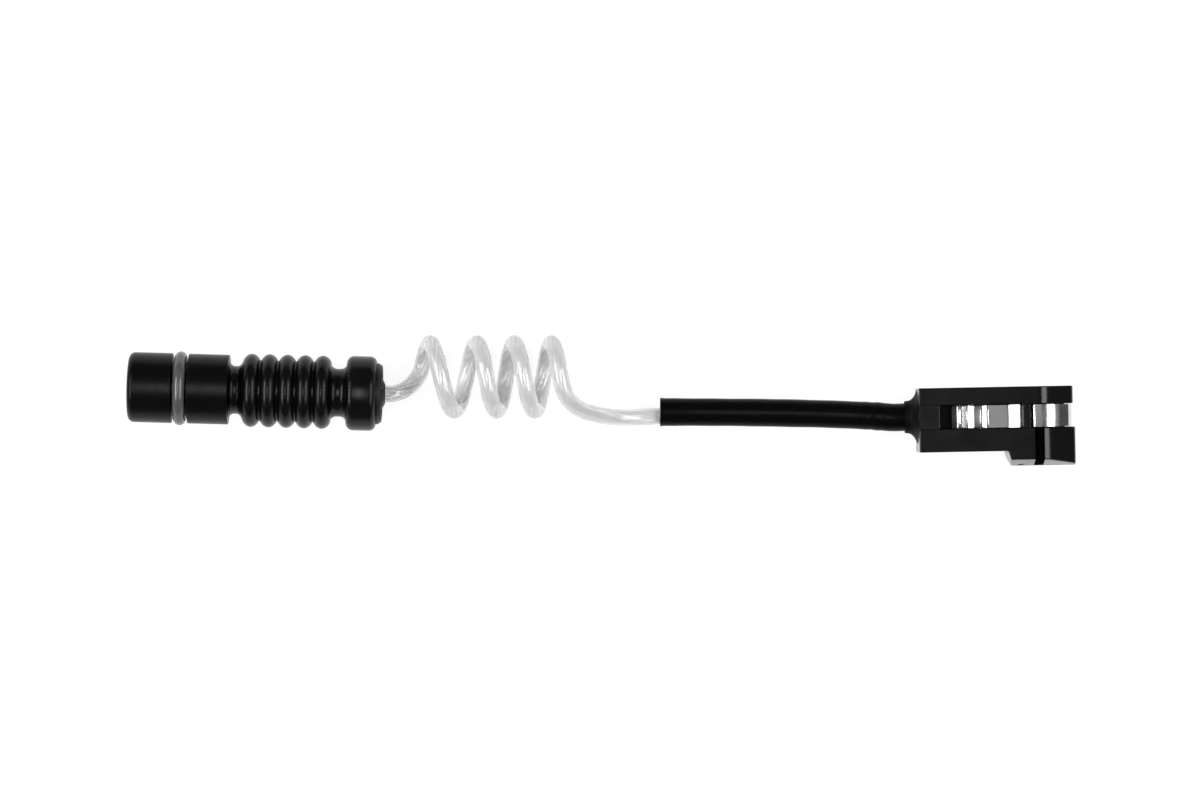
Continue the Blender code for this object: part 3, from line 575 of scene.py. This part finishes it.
# %% Plates of the head
HEAD_LENGTH = 13.96
HALF_DEPTH = 3.0
HEAD_TOP = 2.57
RECESS_TOP = 0.97
RECESS_BOTTOM = -1.12
FOOT_BOTTOM = -4.56
LOWER_END = 14.13
EDGE_ROUNDING = 0.11
END_BEND_SETBACK = 3.31
END_BEND_RADIUS = 1.9
END_SLOPE = math.radians(35)
END_ROUNDING = 0.5
HARD_EDGE = math.radians(40)


def arc(centre, radius, start, end, steps):
    """Points on an arc in plan, between two angles from the head's length towards its front."""
    line = []
    for step in range(steps + 1):
        angle = start + (end - start) * step / steps
        line.append((centre[0] + radius * math.cos(angle), centre[1] + radius * math.sin(angle)))
    return line


def flange_plan(length):
    """A flange seen along the head's height: flat sides that bend into slopes, and a blunt end."""
    upright = math.pi / 2
    bend_centre = (length - END_BEND_SETBACK, HALF_DEPTH - END_BEND_RADIUS)
    bend = arc(bend_centre, END_BEND_RADIUS, upright, upright - END_SLOPE, steps=10)
    bend_end = bend[-1]
    across = length - END_ROUNDING - bend_end[0]
    drop = (END_ROUNDING + across * math.sin(END_SLOPE)) / math.cos(END_SLOPE)
    corner_centre = (length - END_ROUNDING, bend_end[1] - drop)
    corner = arc(corner_centre, END_ROUNDING, upright - END_SLOPE, 0.0, steps=8)
    front = [(0.0, HALF_DEPTH), *bend, *corner]
    return front + [(along, -depth) for along, depth in reversed(front)]


def plate(outline, low, high):
    """An outline of length and depth, pulled up from one height to another."""
    shape = bmesh.new()
    floor = shape.faces.new([shape.verts.new((along, low, depth)) for along, depth in outline])
    pulled = bmesh.ops.extrude_face_region(shape, geom=[floor], use_keep_orig=True)
    raised = [item for item in pulled["geom"] if isinstance(item, bmesh.types.BMVert)]
    bmesh.ops.translate(shape, verts=raised, vec=(0.0, high - low, 0.0))
    bmesh.ops.recalc_face_normals(shape, faces=shape.faces)
    return shape


def round_edges(shape, width=EDGE_ROUNDING, segments=3):
    """Rounds every hard edge of a shape."""
    hard = [edge for edge in shape.edges if edge.calc_face_angle(0.0) > HARD_EDGE]
    bmesh.ops.bevel(
        shape, geom=hard, offset=width, offset_type="OFFSET", segments=segments,
        affect="EDGES", profile=0.5, material=-1, clamp_overlap=True,
    )
    return shape


upper = round_edges(plate(flange_plan(HEAD_LENGTH), RECESS_TOP, HEAD_TOP))
lower = object_from("head_shell", plate(flange_plan(LOWER_END), FOOT_BOTTOM, RECESS_BOTTOM))
print("upper flange:", len(upper.faces), "faces")

# %% [markdown]
# Two more helpers. A plain box is a plate with four corners. A Boolean modifier joins a shape to a piece
# or takes it away, and the result becomes the piece's mesh at once, so that the next step starts from a
# simple object. Points that the step leaves too close together are merged.

# %% Boxes, joins and cuts
def box(left, right, low, high, back, front):
    """A plate with a rectangular outline."""
    return plate([(left, back), (right, back), (right, front), (left, front)], low, high)


def build_with(target, operation, shape):
    """Joins a shape to an object or takes it away, and merges points that this leaves too close."""
    tool = object_from("tool", shape)
    step = target.modifiers.new("step", "BOOLEAN")
    step.solver = "EXACT"
    step.operation = operation
    step.object = tool
    mesh = evaluated_mesh(target)
    target.modifiers.clear()
    target.data = mesh
    cleaned = bmesh.new()
    cleaned.from_mesh(mesh)
    bmesh.ops.remove_doubles(cleaned, verts=cleaned.verts, dist=MERGE_DISTANCE)
    cleaned.to_mesh(mesh)
    cleaned.free()
    bpy.data.objects.remove(tool, do_unlink=True)


print("helpers that join and cut: ready")

# %% [markdown]
# The lower plate is as deep as the foot all along at first. The foot appears when the rest is cut away
# under the flange, up to a slanted side. Its underside then loses two long shallow wedges, front and
# back, so that only a narrow land meets the brake disc. Cutting a half away with bisect_plane and
# closing the hole gives those slopes without another solid.

# %% Foot
FLANGE_BOTTOM = -3.2
FOOT_START = 7.95
FOOT_SLANT = 0.4
RAMP_HEIGHT = 0.58
RAMP_DEPTH = 2.6
CUTTER_DEPTH = 4.0
CUTTER_SPARE = 1.0


def slanted_cutter():
    """The space under the lower flange, beside the foot."""
    low = FOOT_BOTTOM - CUTTER_SPARE
    shape = box(-CUTTER_SPARE, FOOT_START, low, FLANGE_BOTTOM, -CUTTER_DEPTH, CUTTER_DEPTH)
    slope = FOOT_SLANT / (FLANGE_BOTTOM - FOOT_BOTTOM)
    for vert in shape.verts:
        if vert.co.x > 0.0:
            vert.co.x += slope * (FLANGE_BOTTOM - vert.co.y)
    return shape


build_with(lower, "DIFFERENCE", slanted_cutter())
foot = bmesh.new()
foot.from_mesh(lower.data)
for side in (1, -1):
    bmesh.ops.bisect_plane(
        foot, geom=foot.verts[:] + foot.edges[:] + foot.faces[:], dist=0.0001, clear_outer=True,
        plane_co=(0.0, FOOT_BOTTOM + RAMP_HEIGHT, side * HALF_DEPTH),
        plane_no=(0.0, -RAMP_DEPTH, side * RAMP_HEIGHT),
    )
    bmesh.ops.holes_fill(foot, edges=[edge for edge in foot.edges if edge.is_boundary], sides=0)
bmesh.ops.recalc_face_normals(foot, faces=foot.faces)
bmesh.ops.dissolve_limit(foot, angle_limit=0.01, verts=foot.verts, edges=foot.edges)
round_edges(foot)
foot.to_mesh(lower.data)
foot.free()
print("lower plate and foot:", len(lower.data.polygons), "faces")

# %% [markdown]
# Now the rest is joined: the block a hair's breadth lower than the flanges, so that its seams show, the
# core, the two posts that hold the clip back, and the flared boss that the sleeve runs into. What stands
# between the flanges reaches a little into both, because a join of faces that only touch can fail.

# %% Joining
RECESS_START = 1.87
INNER_LOW = -1.35
INNER_HIGH = 1.2
BLOCK_SETBACK = 0.015
BLOCK_HALF_DEPTH = 2.955
BLOCK_ROUNDING = 0.07
CORE_HALF_DEPTH = 1.8
CORE_END = 13.26
CORE_OVERLAP = 0.5
CORE_STEPS = 32
POST_START = 9.33
POST_WIDTH = 0.65
POST_OUTER = 2.925
POST_INNER = 2.505
POST_ROUNDING = 0.05
BOSS_RADIUS = 1.45
BOSS_FLARE = 1.0
BOSS_ROOT = -0.6
BOSS_STEPS = 12
WIRE_AXIS = Matrix.Rotation(-math.pi / 2, 4, "Y")


def core_plan(length, half_depth, start):
    """The core in plan: straight sides and a half-round far end."""
    round_end = arc((length - half_depth, 0.0), half_depth, math.pi / 2, -math.pi / 2, CORE_STEPS)
    return [(start, half_depth), *round_end, (start, -half_depth)]


def on_wire_axis(shape):
    """A turned shape, laid down so that its stations run back along the wire."""
    bmesh.ops.transform(shape, matrix=WIRE_AXIS, verts=shape.verts)
    return shape


block = box(BLOCK_SETBACK, RECESS_START, INNER_LOW, INNER_HIGH, -BLOCK_HALF_DEPTH, BLOCK_HALF_DEPTH)
core = plate(core_plan(CORE_END, CORE_HALF_DEPTH, RECESS_START - CORE_OVERLAP), INNER_LOW, INNER_HIGH)
joined = [upper, round_edges(block, BLOCK_ROUNDING), core]
for side in (1, -1):
    back, front = sorted((side * POST_INNER, side * POST_OUTER))
    post = box(POST_START, POST_START + POST_WIDTH, INNER_LOW, INNER_HIGH, back, front)
    joined.append(round_edges(post, POST_ROUNDING, segments=2))
boss_outline = [(0.0, -BOSS_TIP), (BOSS_RADIUS, -BOSS_TIP, 0.06)]
for step in range(1, BOSS_STEPS + 1):
    share = step / BOSS_STEPS
    boss_outline.append((BOSS_RADIUS + BOSS_FLARE * share ** 3, -BOSS_TIP * (1 - share)))
boss_outline += [(BOSS_RADIUS + BOSS_FLARE, BOSS_ROOT), (0.0, BOSS_ROOT)]
joined.append(on_wire_axis(turned(eased(boss_outline), steps=64)))
for shape in joined:
    build_with(lower, "UNION", shape)
print("joined head:", len(lower.data.polygons), "faces")

# %% [markdown]
# Last come the cuts: the narrow slot, the wire's passage, the pockets of the contact, the marks of the
# mould's push-out pins, and the small hole in the foot's front slope. A cutter that opens to the outside
# stands well out of the head, so that it leaves no thin skin. Pockets give left, right, low, high, back
# and front. Marks give their place along and up the head, their radius and the depth of their floor.

# %% Cutting
SLOT_START = 10.36
SLOT_WIDTH = 0.86
SLOT_BACK = -0.4
SLOT_TOP = RECESS_BOTTOM + 0.12
BLADE_POCKET = (4.4, 9.42, -0.25, 0.25, -0.65, 0.65)
LEG_POCKET = (8.92, 9.42, -4.01, 0.2, -0.65, 0.65)
BLOCK_MARK = (0.97, 0.19, 0.79, BLOCK_HALF_DEPTH - 0.05)
FLANGE_MARK = (5.42, -2.15, 0.45, HALF_DEPTH - 0.03)
FOOT_HOLE_PLACE = (9.17, 0.0, 0.9)
FOOT_HOLE_RADIUS = 0.25
FOOT_HOLE_REACH = (4.25, 5.5)
DOWN_AXIS = Matrix.Rotation(math.pi / 2, 4, "X")


def rod(radius, rear, front, place):
    """A short round bar along local Z, turned and moved by a matrix."""
    shape = bmesh.new()
    bmesh.ops.create_cone(
        shape, cap_ends=True, segments=48, radius1=radius, radius2=radius, depth=front - rear,
        matrix=place @ Matrix.Translation((0.0, 0.0, (front + rear) / 2)),
    )
    return shape


def pin(along, height, radius, floor):
    """A round cutter for a shallow mark in the head's front."""
    return rod(radius, floor, CUTTER_DEPTH, Matrix.Translation((along, height, 0.0)))


slot_low = FOOT_BOTTOM - CUTTER_SPARE
slot = box(SLOT_START, SLOT_START + SLOT_WIDTH, slot_low, SLOT_TOP, SLOT_BACK, CUTTER_DEPTH)
passage_outline = [(0.0, 2.2), (1.3, 2.2), (1.3, -0.65), (0.8, -0.65), (0.8, -4.85), (0.0, -4.85)]
passage = on_wire_axis(turned(passage_outline, steps=48))
hole = rod(FOOT_HOLE_RADIUS, *FOOT_HOLE_REACH, Matrix.Translation(FOOT_HOLE_PLACE) @ DOWN_AXIS)
cutters = (slot, passage, box(*BLADE_POCKET), box(*LEG_POCKET), pin(*BLOCK_MARK), pin(*FLANGE_MARK), hole)
for cutter in cutters:
    build_with(lower, "DIFFERENCE", cutter)
settle(lower, head_place, "head_housing")

# %% [markdown]
# The head is one moulding, yet its parts show as different blacks. The flanges keep a sheen, the block
# and the boss are duller, and the floor of the recess and the slot give back hardly any light. The faces
# of each group are found by their place on the head, so that they can take a finish of their own later.
# The recess floor and the slot get a duller, less glossy copy of the head's black, which paints in the
# shade there.

# %% Faces with a finish of their own
FACE_MARGIN = 0.02
EDGE_MARGIN = 0.05
BLOCK_FACE_HEIGHT = 1.1
RECESS_FACE_DEPTH = 2.4
SLOT_FACE_DEPTH = 2.7

to_head = head_place.inverted()
matte_faces = []
recess_shade_faces = []
dull_faces = []
for face in lower.data.polygons:
    along, height, depth = (to_head @ face.center) / MM
    on_block = along < RECESS_START - EDGE_MARGIN and abs(height) < BLOCK_FACE_HEIGHT
    block_front = BLOCK_HALF_DEPTH - FACE_MARGIN < abs(depth) < HALF_DEPTH - FACE_MARGIN
    in_recess = RECESS_START - FACE_MARGIN < along < CORE_END and RECESS_BOTTOM < height < RECESS_TOP
    in_slot = SLOT_START < along < SLOT_START + SLOT_WIDTH
    if along < -FACE_MARGIN:
        dull_faces.append(face.index)
    elif on_block and block_front:
        matte_faces.append(face.index)
    # Faces of the recess floor and the slot, which take the painted shade.
    elif in_recess and abs(depth) < RECESS_FACE_DEPTH:
        recess_shade_faces.append(face.index)
    elif in_slot and SLOT_BACK - EDGE_MARGIN < depth < SLOT_FACE_DEPTH:
        recess_shade_faces.append(face.index)
print("matte faces: %d, deep: %d, dull: %d" % (len(matte_faces), len(recess_shade_faces), len(dull_faces)))

# %% [markdown]
# The retaining clip is a strip of spring steel bent round the core. Its line is drawn in plan: a tip
# bent in, a low run with a sharp ridge, a rise to the high run, a long fall behind the post, and an end
# that follows the slopes of the flanges to a narrower bend. The back is the same line, mirrored.

# %% Line of the clip
CLIP_HIGH = 2.85
CLIP_LOW = 2.6
CLIP_BEHIND_POST = 2.455
CLIP_END_CENTRE = 10.96
CLIP_END_SLOPE = math.radians(38)
CLIP_END = 13.81
CLIP_END_BEND = 1.0
CLIP_ARC_STEPS = 12
CLIP_FRONT = (
    (2.98, 2.15),
    (3.50, CLIP_LOW),
    (3.76, CLIP_LOW),
    (4.34, CLIP_HIGH),
    (4.92, CLIP_LOW),
    (5.60, CLIP_LOW),
    (6.13, CLIP_HIGH),
    (8.02, CLIP_HIGH),
    (9.28, CLIP_BEHIND_POST),
    (10.03, CLIP_BEHIND_POST),
    (10.30, CLIP_HIGH),
)

upright = math.pi / 2
slope = upright - CLIP_END_SLOPE
clip_front = list(CLIP_FRONT)
clip_front += arc((CLIP_END_CENTRE, 0.0), CLIP_HIGH, upright, slope, CLIP_ARC_STEPS)
slope_start = clip_front[-1]
corner_along = CLIP_END - CLIP_END_BEND
run = corner_along + CLIP_END_BEND * math.sin(CLIP_END_SLOPE) - slope_start[0]
corner_depth = slope_start[1] - run * math.tan(CLIP_END_SLOPE) - CLIP_END_BEND * math.cos(CLIP_END_SLOPE)
clip_front += arc((corner_along, corner_depth), CLIP_END_BEND, slope, 0.0, CLIP_ARC_STEPS)
clip_line = clip_front + [(along, -depth) for along, depth in reversed(clip_front)]
print("clip line:", len(clip_line), "points")

# %% [markdown]
# The strip is that line pulled up. The bevel operator rounds the bends, by so little that two of them
# never meet, and Solidify gives the thickness. This is how the real one is made too: a flat strip,
# folded in a press.

# %% Retaining clip
CLIP_THICKNESS = 0.25
CLIP_TOP = 0.92
CLIP_BOTTOM = -1.07
BEND_ROUNDING = 0.12
BEND_ANGLE = math.radians(9)
STRIP_EDGE_ROUNDING = 0.035
STRIP_EDGE_ANGLE = math.radians(60)

strip = bmesh.new()
line_points = [strip.verts.new((along, CLIP_TOP, depth)) for along, depth in clip_line]
line_edges = [strip.edges.new(pair) for pair in zip(line_points, line_points[1:])]
pulled = bmesh.ops.extrude_edge_only(strip, edges=line_edges)
lowered = [item for item in pulled["geom"] if isinstance(item, bmesh.types.BMVert)]
bmesh.ops.translate(strip, verts=lowered, vec=(0.0, CLIP_BOTTOM - CLIP_TOP, 0.0))
bmesh.ops.recalc_face_normals(strip, faces=strip.faces)
bends = [edge for edge in strip.edges if edge.is_manifold and edge.calc_face_angle(0.0) > BEND_ANGLE]
bmesh.ops.bevel(
    strip, geom=bends, offset=BEND_ROUNDING, offset_type="OFFSET", segments=5,
    affect="EDGES", profile=0.5, material=-1, clamp_overlap=True,
)
middle = Vector((CLIP_END_CENTRE, 0.0, 0.0))
outward = sum((face.calc_center_median() - middle).dot(face.normal) for face in strip.faces)
if outward < 0:
    bmesh.ops.reverse_faces(strip, faces=strip.faces)
clip_mesh = bpy.data.meshes.new("clip_strip")
strip.to_mesh(clip_mesh)
strip.free()
clip = bpy.data.objects.new("clip_strip", clip_mesh)
bpy.context.scene.collection.objects.link(clip)
sheet = clip.modifiers.new("sheet", "SOLIDIFY")
sheet.thickness = CLIP_THICKNESS
sheet.offset = -1.0
sheet.use_even_offset = True
edges = clip.modifiers.new("edges", "BEVEL")
edges.width = STRIP_EDGE_ROUNDING
edges.segments = 2
edges.limit_method = "ANGLE"
edges.angle_limit = STRIP_EDGE_ANGLE
folded = evaluated_mesh(clip)
clip.modifiers.clear()
clip.data = folded
settle(clip, head_place, "retaining_clip")

# %% [markdown]
# Now the finishes. A finish is a network of nodes, and long networks are hard to read. Two small classes
# turn it into sentences. The first is a Signal, which is one output of a node: adding or multiplying
# signals adds Math nodes.

# %% Signals
class Signal:
    """One output of a node. Arithmetic on it adds Math nodes."""

    def __init__(self, finish, socket):
        self.finish = finish
        self.socket = socket

    def combine(self, operation, first, second):
        return self.finish.add("ShaderNodeMath", {"operation": operation}, {0: first, 1: second})

    def __add__(self, other):
        return self.combine("ADD", self, other)

    def __sub__(self, other):
        return self.combine("SUBTRACT", self, other)

    def __rsub__(self, other):
        return self.combine("SUBTRACT", other, self)

    def __mul__(self, other):
        return self.combine("MULTIPLY", self, other)

    def __pow__(self, other):
        return self.combine("POWER", self, other)

    def largest(self, other):
        return self.combine("MAXIMUM", self, other)

    __radd__ = __add__
    __rmul__ = __mul__


print("signals: ready")

# %% [markdown]
# The second is a Finish. It holds one material, adds nodes in one call, and ends in its Principled
# shader. The light of the world is written in the same way, so a Finish can be given the world instead.

# %% Writing a finish
class Finish:
    """A material in the making, or the world where one is given."""

    def __init__(self, name, world=None):
        self.owner = world or bpy.data.materials.new(name)
        self.owner.use_nodes = True
        self.tree = self.owner.node_tree
        self.surface = self.tree.nodes.get("Principled BSDF")
        self.place = self.add("ShaderNodeTexCoord", {}, {}, "Object")

    def feed(self, node, values):
        """Sets inputs of a node, each to a plain value or to a link from a Signal."""
        for name, value in values.items():
            if isinstance(value, Signal):
                self.tree.links.new(value.socket, node.inputs[name])
            else:
                node.inputs[name].default_value = value

    def add(self, kind, settings, values, output=0):
        """Adds one node: its settings first, then its inputs, and hands back one output."""
        node = self.tree.nodes.new(kind)
        for name, value in settings.items():
            setattr(node, name, value)
        self.feed(node, values)
        return Signal(self, node.outputs[output])

    def grain(self, scale, detail=2.0, stretch=None, place=None):
        """Noise by place on the object, in grains a metre, stretched along an axis if asked."""
        place = place or self.place
        if stretch:
            place = self.add("ShaderNodeVectorMath", {"operation": "MULTIPLY"}, {0: place, 1: stretch})
        values = {"Vector": place, "Scale": scale, "Detail": detail, "Roughness": 0.55}
        return self.add("ShaderNodeTexNoise", {}, values)

    def between(self, share, first, second):
        """A colour mixed from two, by a share from 0 to 1."""
        values = {0: share, 6: first, 7: second}
        return self.add("ShaderNodeMix", {"data_type": "RGBA"}, values, 2)

    def relief(self, height, depth, under=None):
        """A surface that stands up where height is large, by depth in millimetres."""
        values = {"Height": height, "Distance": depth * MM, "Strength": 1.0}
        if under:
            values["Normal"] = under
        return self.add("ShaderNodeBump", {}, values)

    def shade(self, values):
        """Sets inputs of the Principled shader."""
        self.feed(self.surface, values)


def grey(level):
    """A grey as a colour with full alpha."""
    return (level, level, level, 1.0)


print("finishes: ready")

# %% [markdown]
# Black is the hard part of this object. Five black pieces and a grey ring lie side by side, and in the
# photograph they differ only in how they take light. The boot is dull rubber, the nose is a smoother
# moulding, the sleeve is a thin film with ripples and faint streaks, and the head is glass-filled
# plastic with a sheen. So the colours stay nearly the same, and the roughness, the gloss and the grain
# make the difference. Each row below gives the name, the grey, the gloss, the mean roughness, the grains
# a metre and the depth of the skin in millimetres.

# %% Black plastics and rubbers
BROAD_SHARE = 0.07
DUST_SHARE = 0.25
DUST_LIFT = 2.2
SMEAR = 0.12
GRIT = 0.06


def moulded_black(name, level, gloss, roughness, grain, depth):
    """Moulded black, with a fine skin, broad smears and a little dust."""
    finish = Finish(name)
    fine = finish.grain(grain, 3.0)
    broad = finish.grain(grain * BROAD_SHARE, 2.0)
    dust = finish.grain(grain * DUST_SHARE, 4.0) ** 3.0
    finish.shade({
        "Base Color": finish.between(dust + broad * 0.3, grey(level), grey(level * DUST_LIFT)),
        "Roughness": broad * SMEAR + fine * GRIT + (roughness - (SMEAR + GRIT) / 2),
        "Specular IOR Level": gloss,
        "Normal": finish.relief(fine, depth),
    })
    return finish


plug_black = moulded_black("plug_moulding", 0.0008, 0.15, 0.33, 9000.0, 0.006)
boot_black = moulded_black("boot_rubber", 0.0008, 0.22, 0.28, 7000.0, 0.005)
seal_black = moulded_black("seal_rubber", 0.0025, 0.30, 0.45, 7000.0, 0.006)
head_black = moulded_black("head_moulding", 0.0010, 0.38, 0.18, 6000.0, 0.0012)
block_black = moulded_black("head_matte_face", 0.0050, 0.12, 0.50, 6000.0, 0.006)
# Painted shade: a low-gloss, rough copy of the head's black for the recess floor and the slot, which lie
# in shade.
recess_shade_black = moulded_black("head_recess_painted_shade", 0.0010, 0.06, 0.55, 6000.0, 0.006)
dull_black = moulded_black("head_boss", 0.0020, 0.08, 0.55, 6000.0, 0.006)
ring_grey = moulded_black("ring_rubber", 0.0560, 0.60, 0.22, 5000.0, 0.003)

film = Finish("sleeve_film")
ripple = film.grain(420.0, 2.0, (0.55, 1.0, 1.0))
scuff = film.grain(2600.0, 3.0)
film.shade({
    "Base Color": film.between(scuff ** 2.0, grey(0.0012), grey(0.0035)),
    "Roughness": scuff * 0.14 + 0.24,
    "Specular IOR Level": 0.06,
    "Normal": film.relief(ripple, 0.05, film.relief(scuff, 0.003)),
})
print("materials so far:", len(bpy.data.materials))

# %% [markdown]
# The lead's jacket lets about half of the light in, and the twist of the strands shows through it as
# soft slanting shades. Its surface is smooth as wax, so lamps draw long white lines on it. Absorption is
# left out: the strands inside and a pale milky base are enough.

# %% Jacket, strands and metals
jacket = Finish("waxy_jacket")
cloud = jacket.grain(900.0, 3.0)
rub = jacket.grain(3500.0, 2.0, (0.2, 1.0, 1.0))
jacket.shade({
    "Base Color": jacket.between(cloud, grey(0.90), grey(0.97)),
    "Roughness": cloud * 0.04 + rub * 0.03 + 0.03,
    "Normal": jacket.relief(cloud, 0.012),
    "Transmission Weight": 0.52,
    "IOR": 1.42,
    "Coat Weight": 0.8,
    "Coat Roughness": 0.05,
})

plated = Finish("plated_strands")
tarnish = plated.grain(1600.0, 3.0)
plated.shade({
    "Base Color": plated.between(tarnish, (0.80, 0.79, 0.78, 1.0), (0.93, 0.92, 0.91, 1.0)),
    "Roughness": tarnish * 0.16 + 0.22,
    "Metallic": 1.0,
    "Normal": plated.relief(tarnish, 0.004),
})

flashed = Finish("tinned_brass")
worn = flashed.grain(1400.0, 4.0)
flashed.shade({
    "Base Color": flashed.between(worn ** 2.0, (0.74, 0.72, 0.66, 1.0), (0.72, 0.55, 0.30, 1.0)),
    "Roughness": worn * 0.2 + 0.22,
    "Metallic": 1.0,
    "Normal": flashed.relief(worn, 0.004),
})

rolled = Finish("rolled_spring_steel")
along_head = rolled.add("ShaderNodeMapping", {"vector_type": "TEXTURE"}, {
    "Vector": rolled.place,
    "Location": Vector(HEAD_ORIGIN) * MM,
    "Rotation": (0.0, 0.0, HEAD_TILT),
})
lines = rolled.grain(1.0, 3.0, (260.0, 15000.0, 260.0), along_head)
stain = rolled.grain(700.0, 3.0)
rolled.shade({
    "Base Color": rolled.between(stain, grey(0.62), grey(0.74)),
    "Roughness": lines * 0.10 + stain * 0.06 + 0.09,
    "Metallic": 1.0,
    "Normal": rolled.relief(lines, 0.0004),
})
print("materials in all:", len(bpy.data.materials))

# %% [markdown]
# Each piece gets its finish, and the head's groups of faces get theirs after it. The solids that stay
# from the frame are the parts that only show through an opening, if at all: the socket, the contact,
# the bared strands and the lead's end in the plug. They take theirs on their own material slots.

# %% Handing out the finishes
def dress(obj, finish):
    """Gives an object one finish on every slot that it has."""
    if not obj.material_slots:
        obj.data.materials.append(finish.owner)
    for slot in obj.material_slots:
        slot.material = finish.owner


def second_finish(obj, finish, faces):
    """Gives some faces of an object a finish of their own."""
    obj.data.materials.append(finish.owner)
    for index in faces:
        obj.data.polygons[index].material_index = len(obj.data.materials) - 1


for piece, finish in (
    (plug_body, plug_black),
    (boot, boot_black),
    (seal, seal_black),
    (ring, ring_grey),
    (sleeve, film),
    (lower, head_black),
    (clip, rolled),
    (lead, jacket),
    (held_lead, jacket),
    (strands, plated),
    (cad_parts["lead_plug_end"], jacket),
    (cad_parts["plug_conductor"], plated),
    (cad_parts["head_conductor"], plated),
    (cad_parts["socket_terminal"], flashed),
    (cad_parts["wear_contact"], flashed),
):
    dress(piece, finish)
second_finish(lower, block_black, matte_faces)
# The recess floor and the slot take the painted shade.
second_finish(lower, recess_shade_black, recess_shade_faces)
second_finish(lower, dull_black, dull_faces)
print("finishes:", len(bpy.data.materials))

# %% [markdown]
# The sensor lies on a white table under a light tent. For the camera, and for anything that mirrors or
# looks through to it, the table shines a little by itself, so the background comes out white. For the
# object it is only a white surface. The two closures are mixed by the kind of ray, and the part that
# stays diffuse keeps the sensor's shadow.

# %% Table
TABLE_HALF = 3.0
TABLE_DROP = 0.02 * MM
WHITE_SHARE = 0.80
TABLE_SHINE = 1.12
PAPER_GREYS = (grey(0.86), grey(0.90))

table_shape = bmesh.new()
below = Matrix.Translation((0.0, 0.0, -TABLE_DROP))
bmesh.ops.create_grid(table_shape, x_segments=2, y_segments=2, size=TABLE_HALF, matrix=below)
table = object_from("table", table_shape)
top = Finish("white_table")
paper = top.grain(1500.0, 2.0)
top.tree.nodes.remove(top.surface)
plain = top.add("ShaderNodeBsdfDiffuse", {}, {"Color": top.between(paper, *PAPER_GREYS)})
shining = top.add("ShaderNodeEmission", {}, {"Color": grey(1.0), "Strength": TABLE_SHINE})
seen = top.add("ShaderNodeLightPath", {}, {}, "Is Camera Ray")
mirrored = top.add("ShaderNodeLightPath", {}, {}, "Is Glossy Ray")
through = top.add("ShaderNodeLightPath", {}, {}, "Is Transmission Ray")
share = seen.largest(mirrored).largest(through) * WHITE_SHARE
both = top.add("ShaderNodeMixShader", {}, {0: share, 1: plain, 2: shining})
top.feed(top.tree.nodes["Material Output"], {"Surface": both})
table.data.materials.append(top.owner)
print("table: %.0f m wide" % (2 * TABLE_HALF))

# %% [markdown]
# The light is soft and comes from two lamps that stand left and right, halfway up. Every rib, the ring
# and the wire show them as a pair of lines, and the bends of the clip show them as white bands. The left
# one is narrow and strong, the right one wide. A third, small and weak, hangs beside the camera and gives
# the plug and the sleeve a faint glow along their middles. Each row says how far the lamp leans from
# straight above, how far away it is, its width and length in metres, and its power.

# %% Lamps
LAMPS = {
    "roof_lamp": (-6.0, 0.62, 0.065, 0.26, 0.62),
    "left_lamp": (-48.0, 0.50, 0.11, 0.50, 1.95),
    "right_lamp": (44.0, 0.50, 0.22, 0.50, 1.80),
}
LIT_POINT = Vector((0.0, 0.0, 0.0))


def soft_lamp(name, degrees, distance, width, length, power):
    """A rectangular lamp that faces the sensor's middle; its length lies across the sensor."""
    data = bpy.data.lights.new(name, "AREA")
    data.shape = "RECTANGLE"
    data.size = length
    data.size_y = width
    data.energy = power
    lamp = bpy.data.objects.new(name, data)
    angle = math.radians(degrees)
    place = Vector((distance * math.sin(angle), 0.0, distance * math.cos(angle)))
    lamp.location = place
    lamp.rotation_euler = (LIT_POINT - place).to_track_quat("-Z", "Y").to_euler()
    lamp.visible_camera = False
    bpy.context.scene.collection.objects.link(lamp)


for name, facts in LAMPS.items():
    soft_lamp(name, *facts)
print("lamps:", len(bpy.data.lights))

# %% [markdown]
# Between the lamps there is only the tent, which is much darker, so the black pieces stay black. Its
# brightness is listed by height, from 0 at the table's edge to 1 straight above. It is darkest low down,
# which keeps the head's slopes dark. A brighter band above that shows in the clip, and the light spot
# near the camera shows on the head's flat faces. The camera itself sees the tent as plain white.

# %% Tent
TENT_LEVELS = (
    (0.0, 0.03),
    (0.19, 0.05),
    (0.32, 0.24),
    (0.70, 0.16),
    (0.95, 0.10),
    (0.99, 0.22),
    (1.0, 0.24),
)

tent = Finish("tent", bpy.data.worlds.new("tent"))
bpy.context.scene.world = tent.owner
heading = tent.add("ShaderNodeTexCoord", {}, {}, "Generated")
rise = tent.add("ShaderNodeSeparateXYZ", {}, {"Vector": heading}, "Z")
level = TENT_LEVELS[0][1]
for (low, low_level), (high, high_level) in zip(TENT_LEVELS, TENT_LEVELS[1:]):
    values = {"Value": rise, 1: low, 2: high, 3: 0.0, 4: high_level - low_level}
    level = level + tent.add("ShaderNodeMapRange", {}, values)
direct = tent.add("ShaderNodeLightPath", {}, {}, "Is Camera Ray")
strength = level + direct * (1.0 - level)
tent.feed(tent.tree.nodes["Background"], {"Color": grey(1.0), "Strength": strength})
bpy.context.scene.view_settings.view_transform = "Standard"
print("tent levels:", len(TENT_LEVELS))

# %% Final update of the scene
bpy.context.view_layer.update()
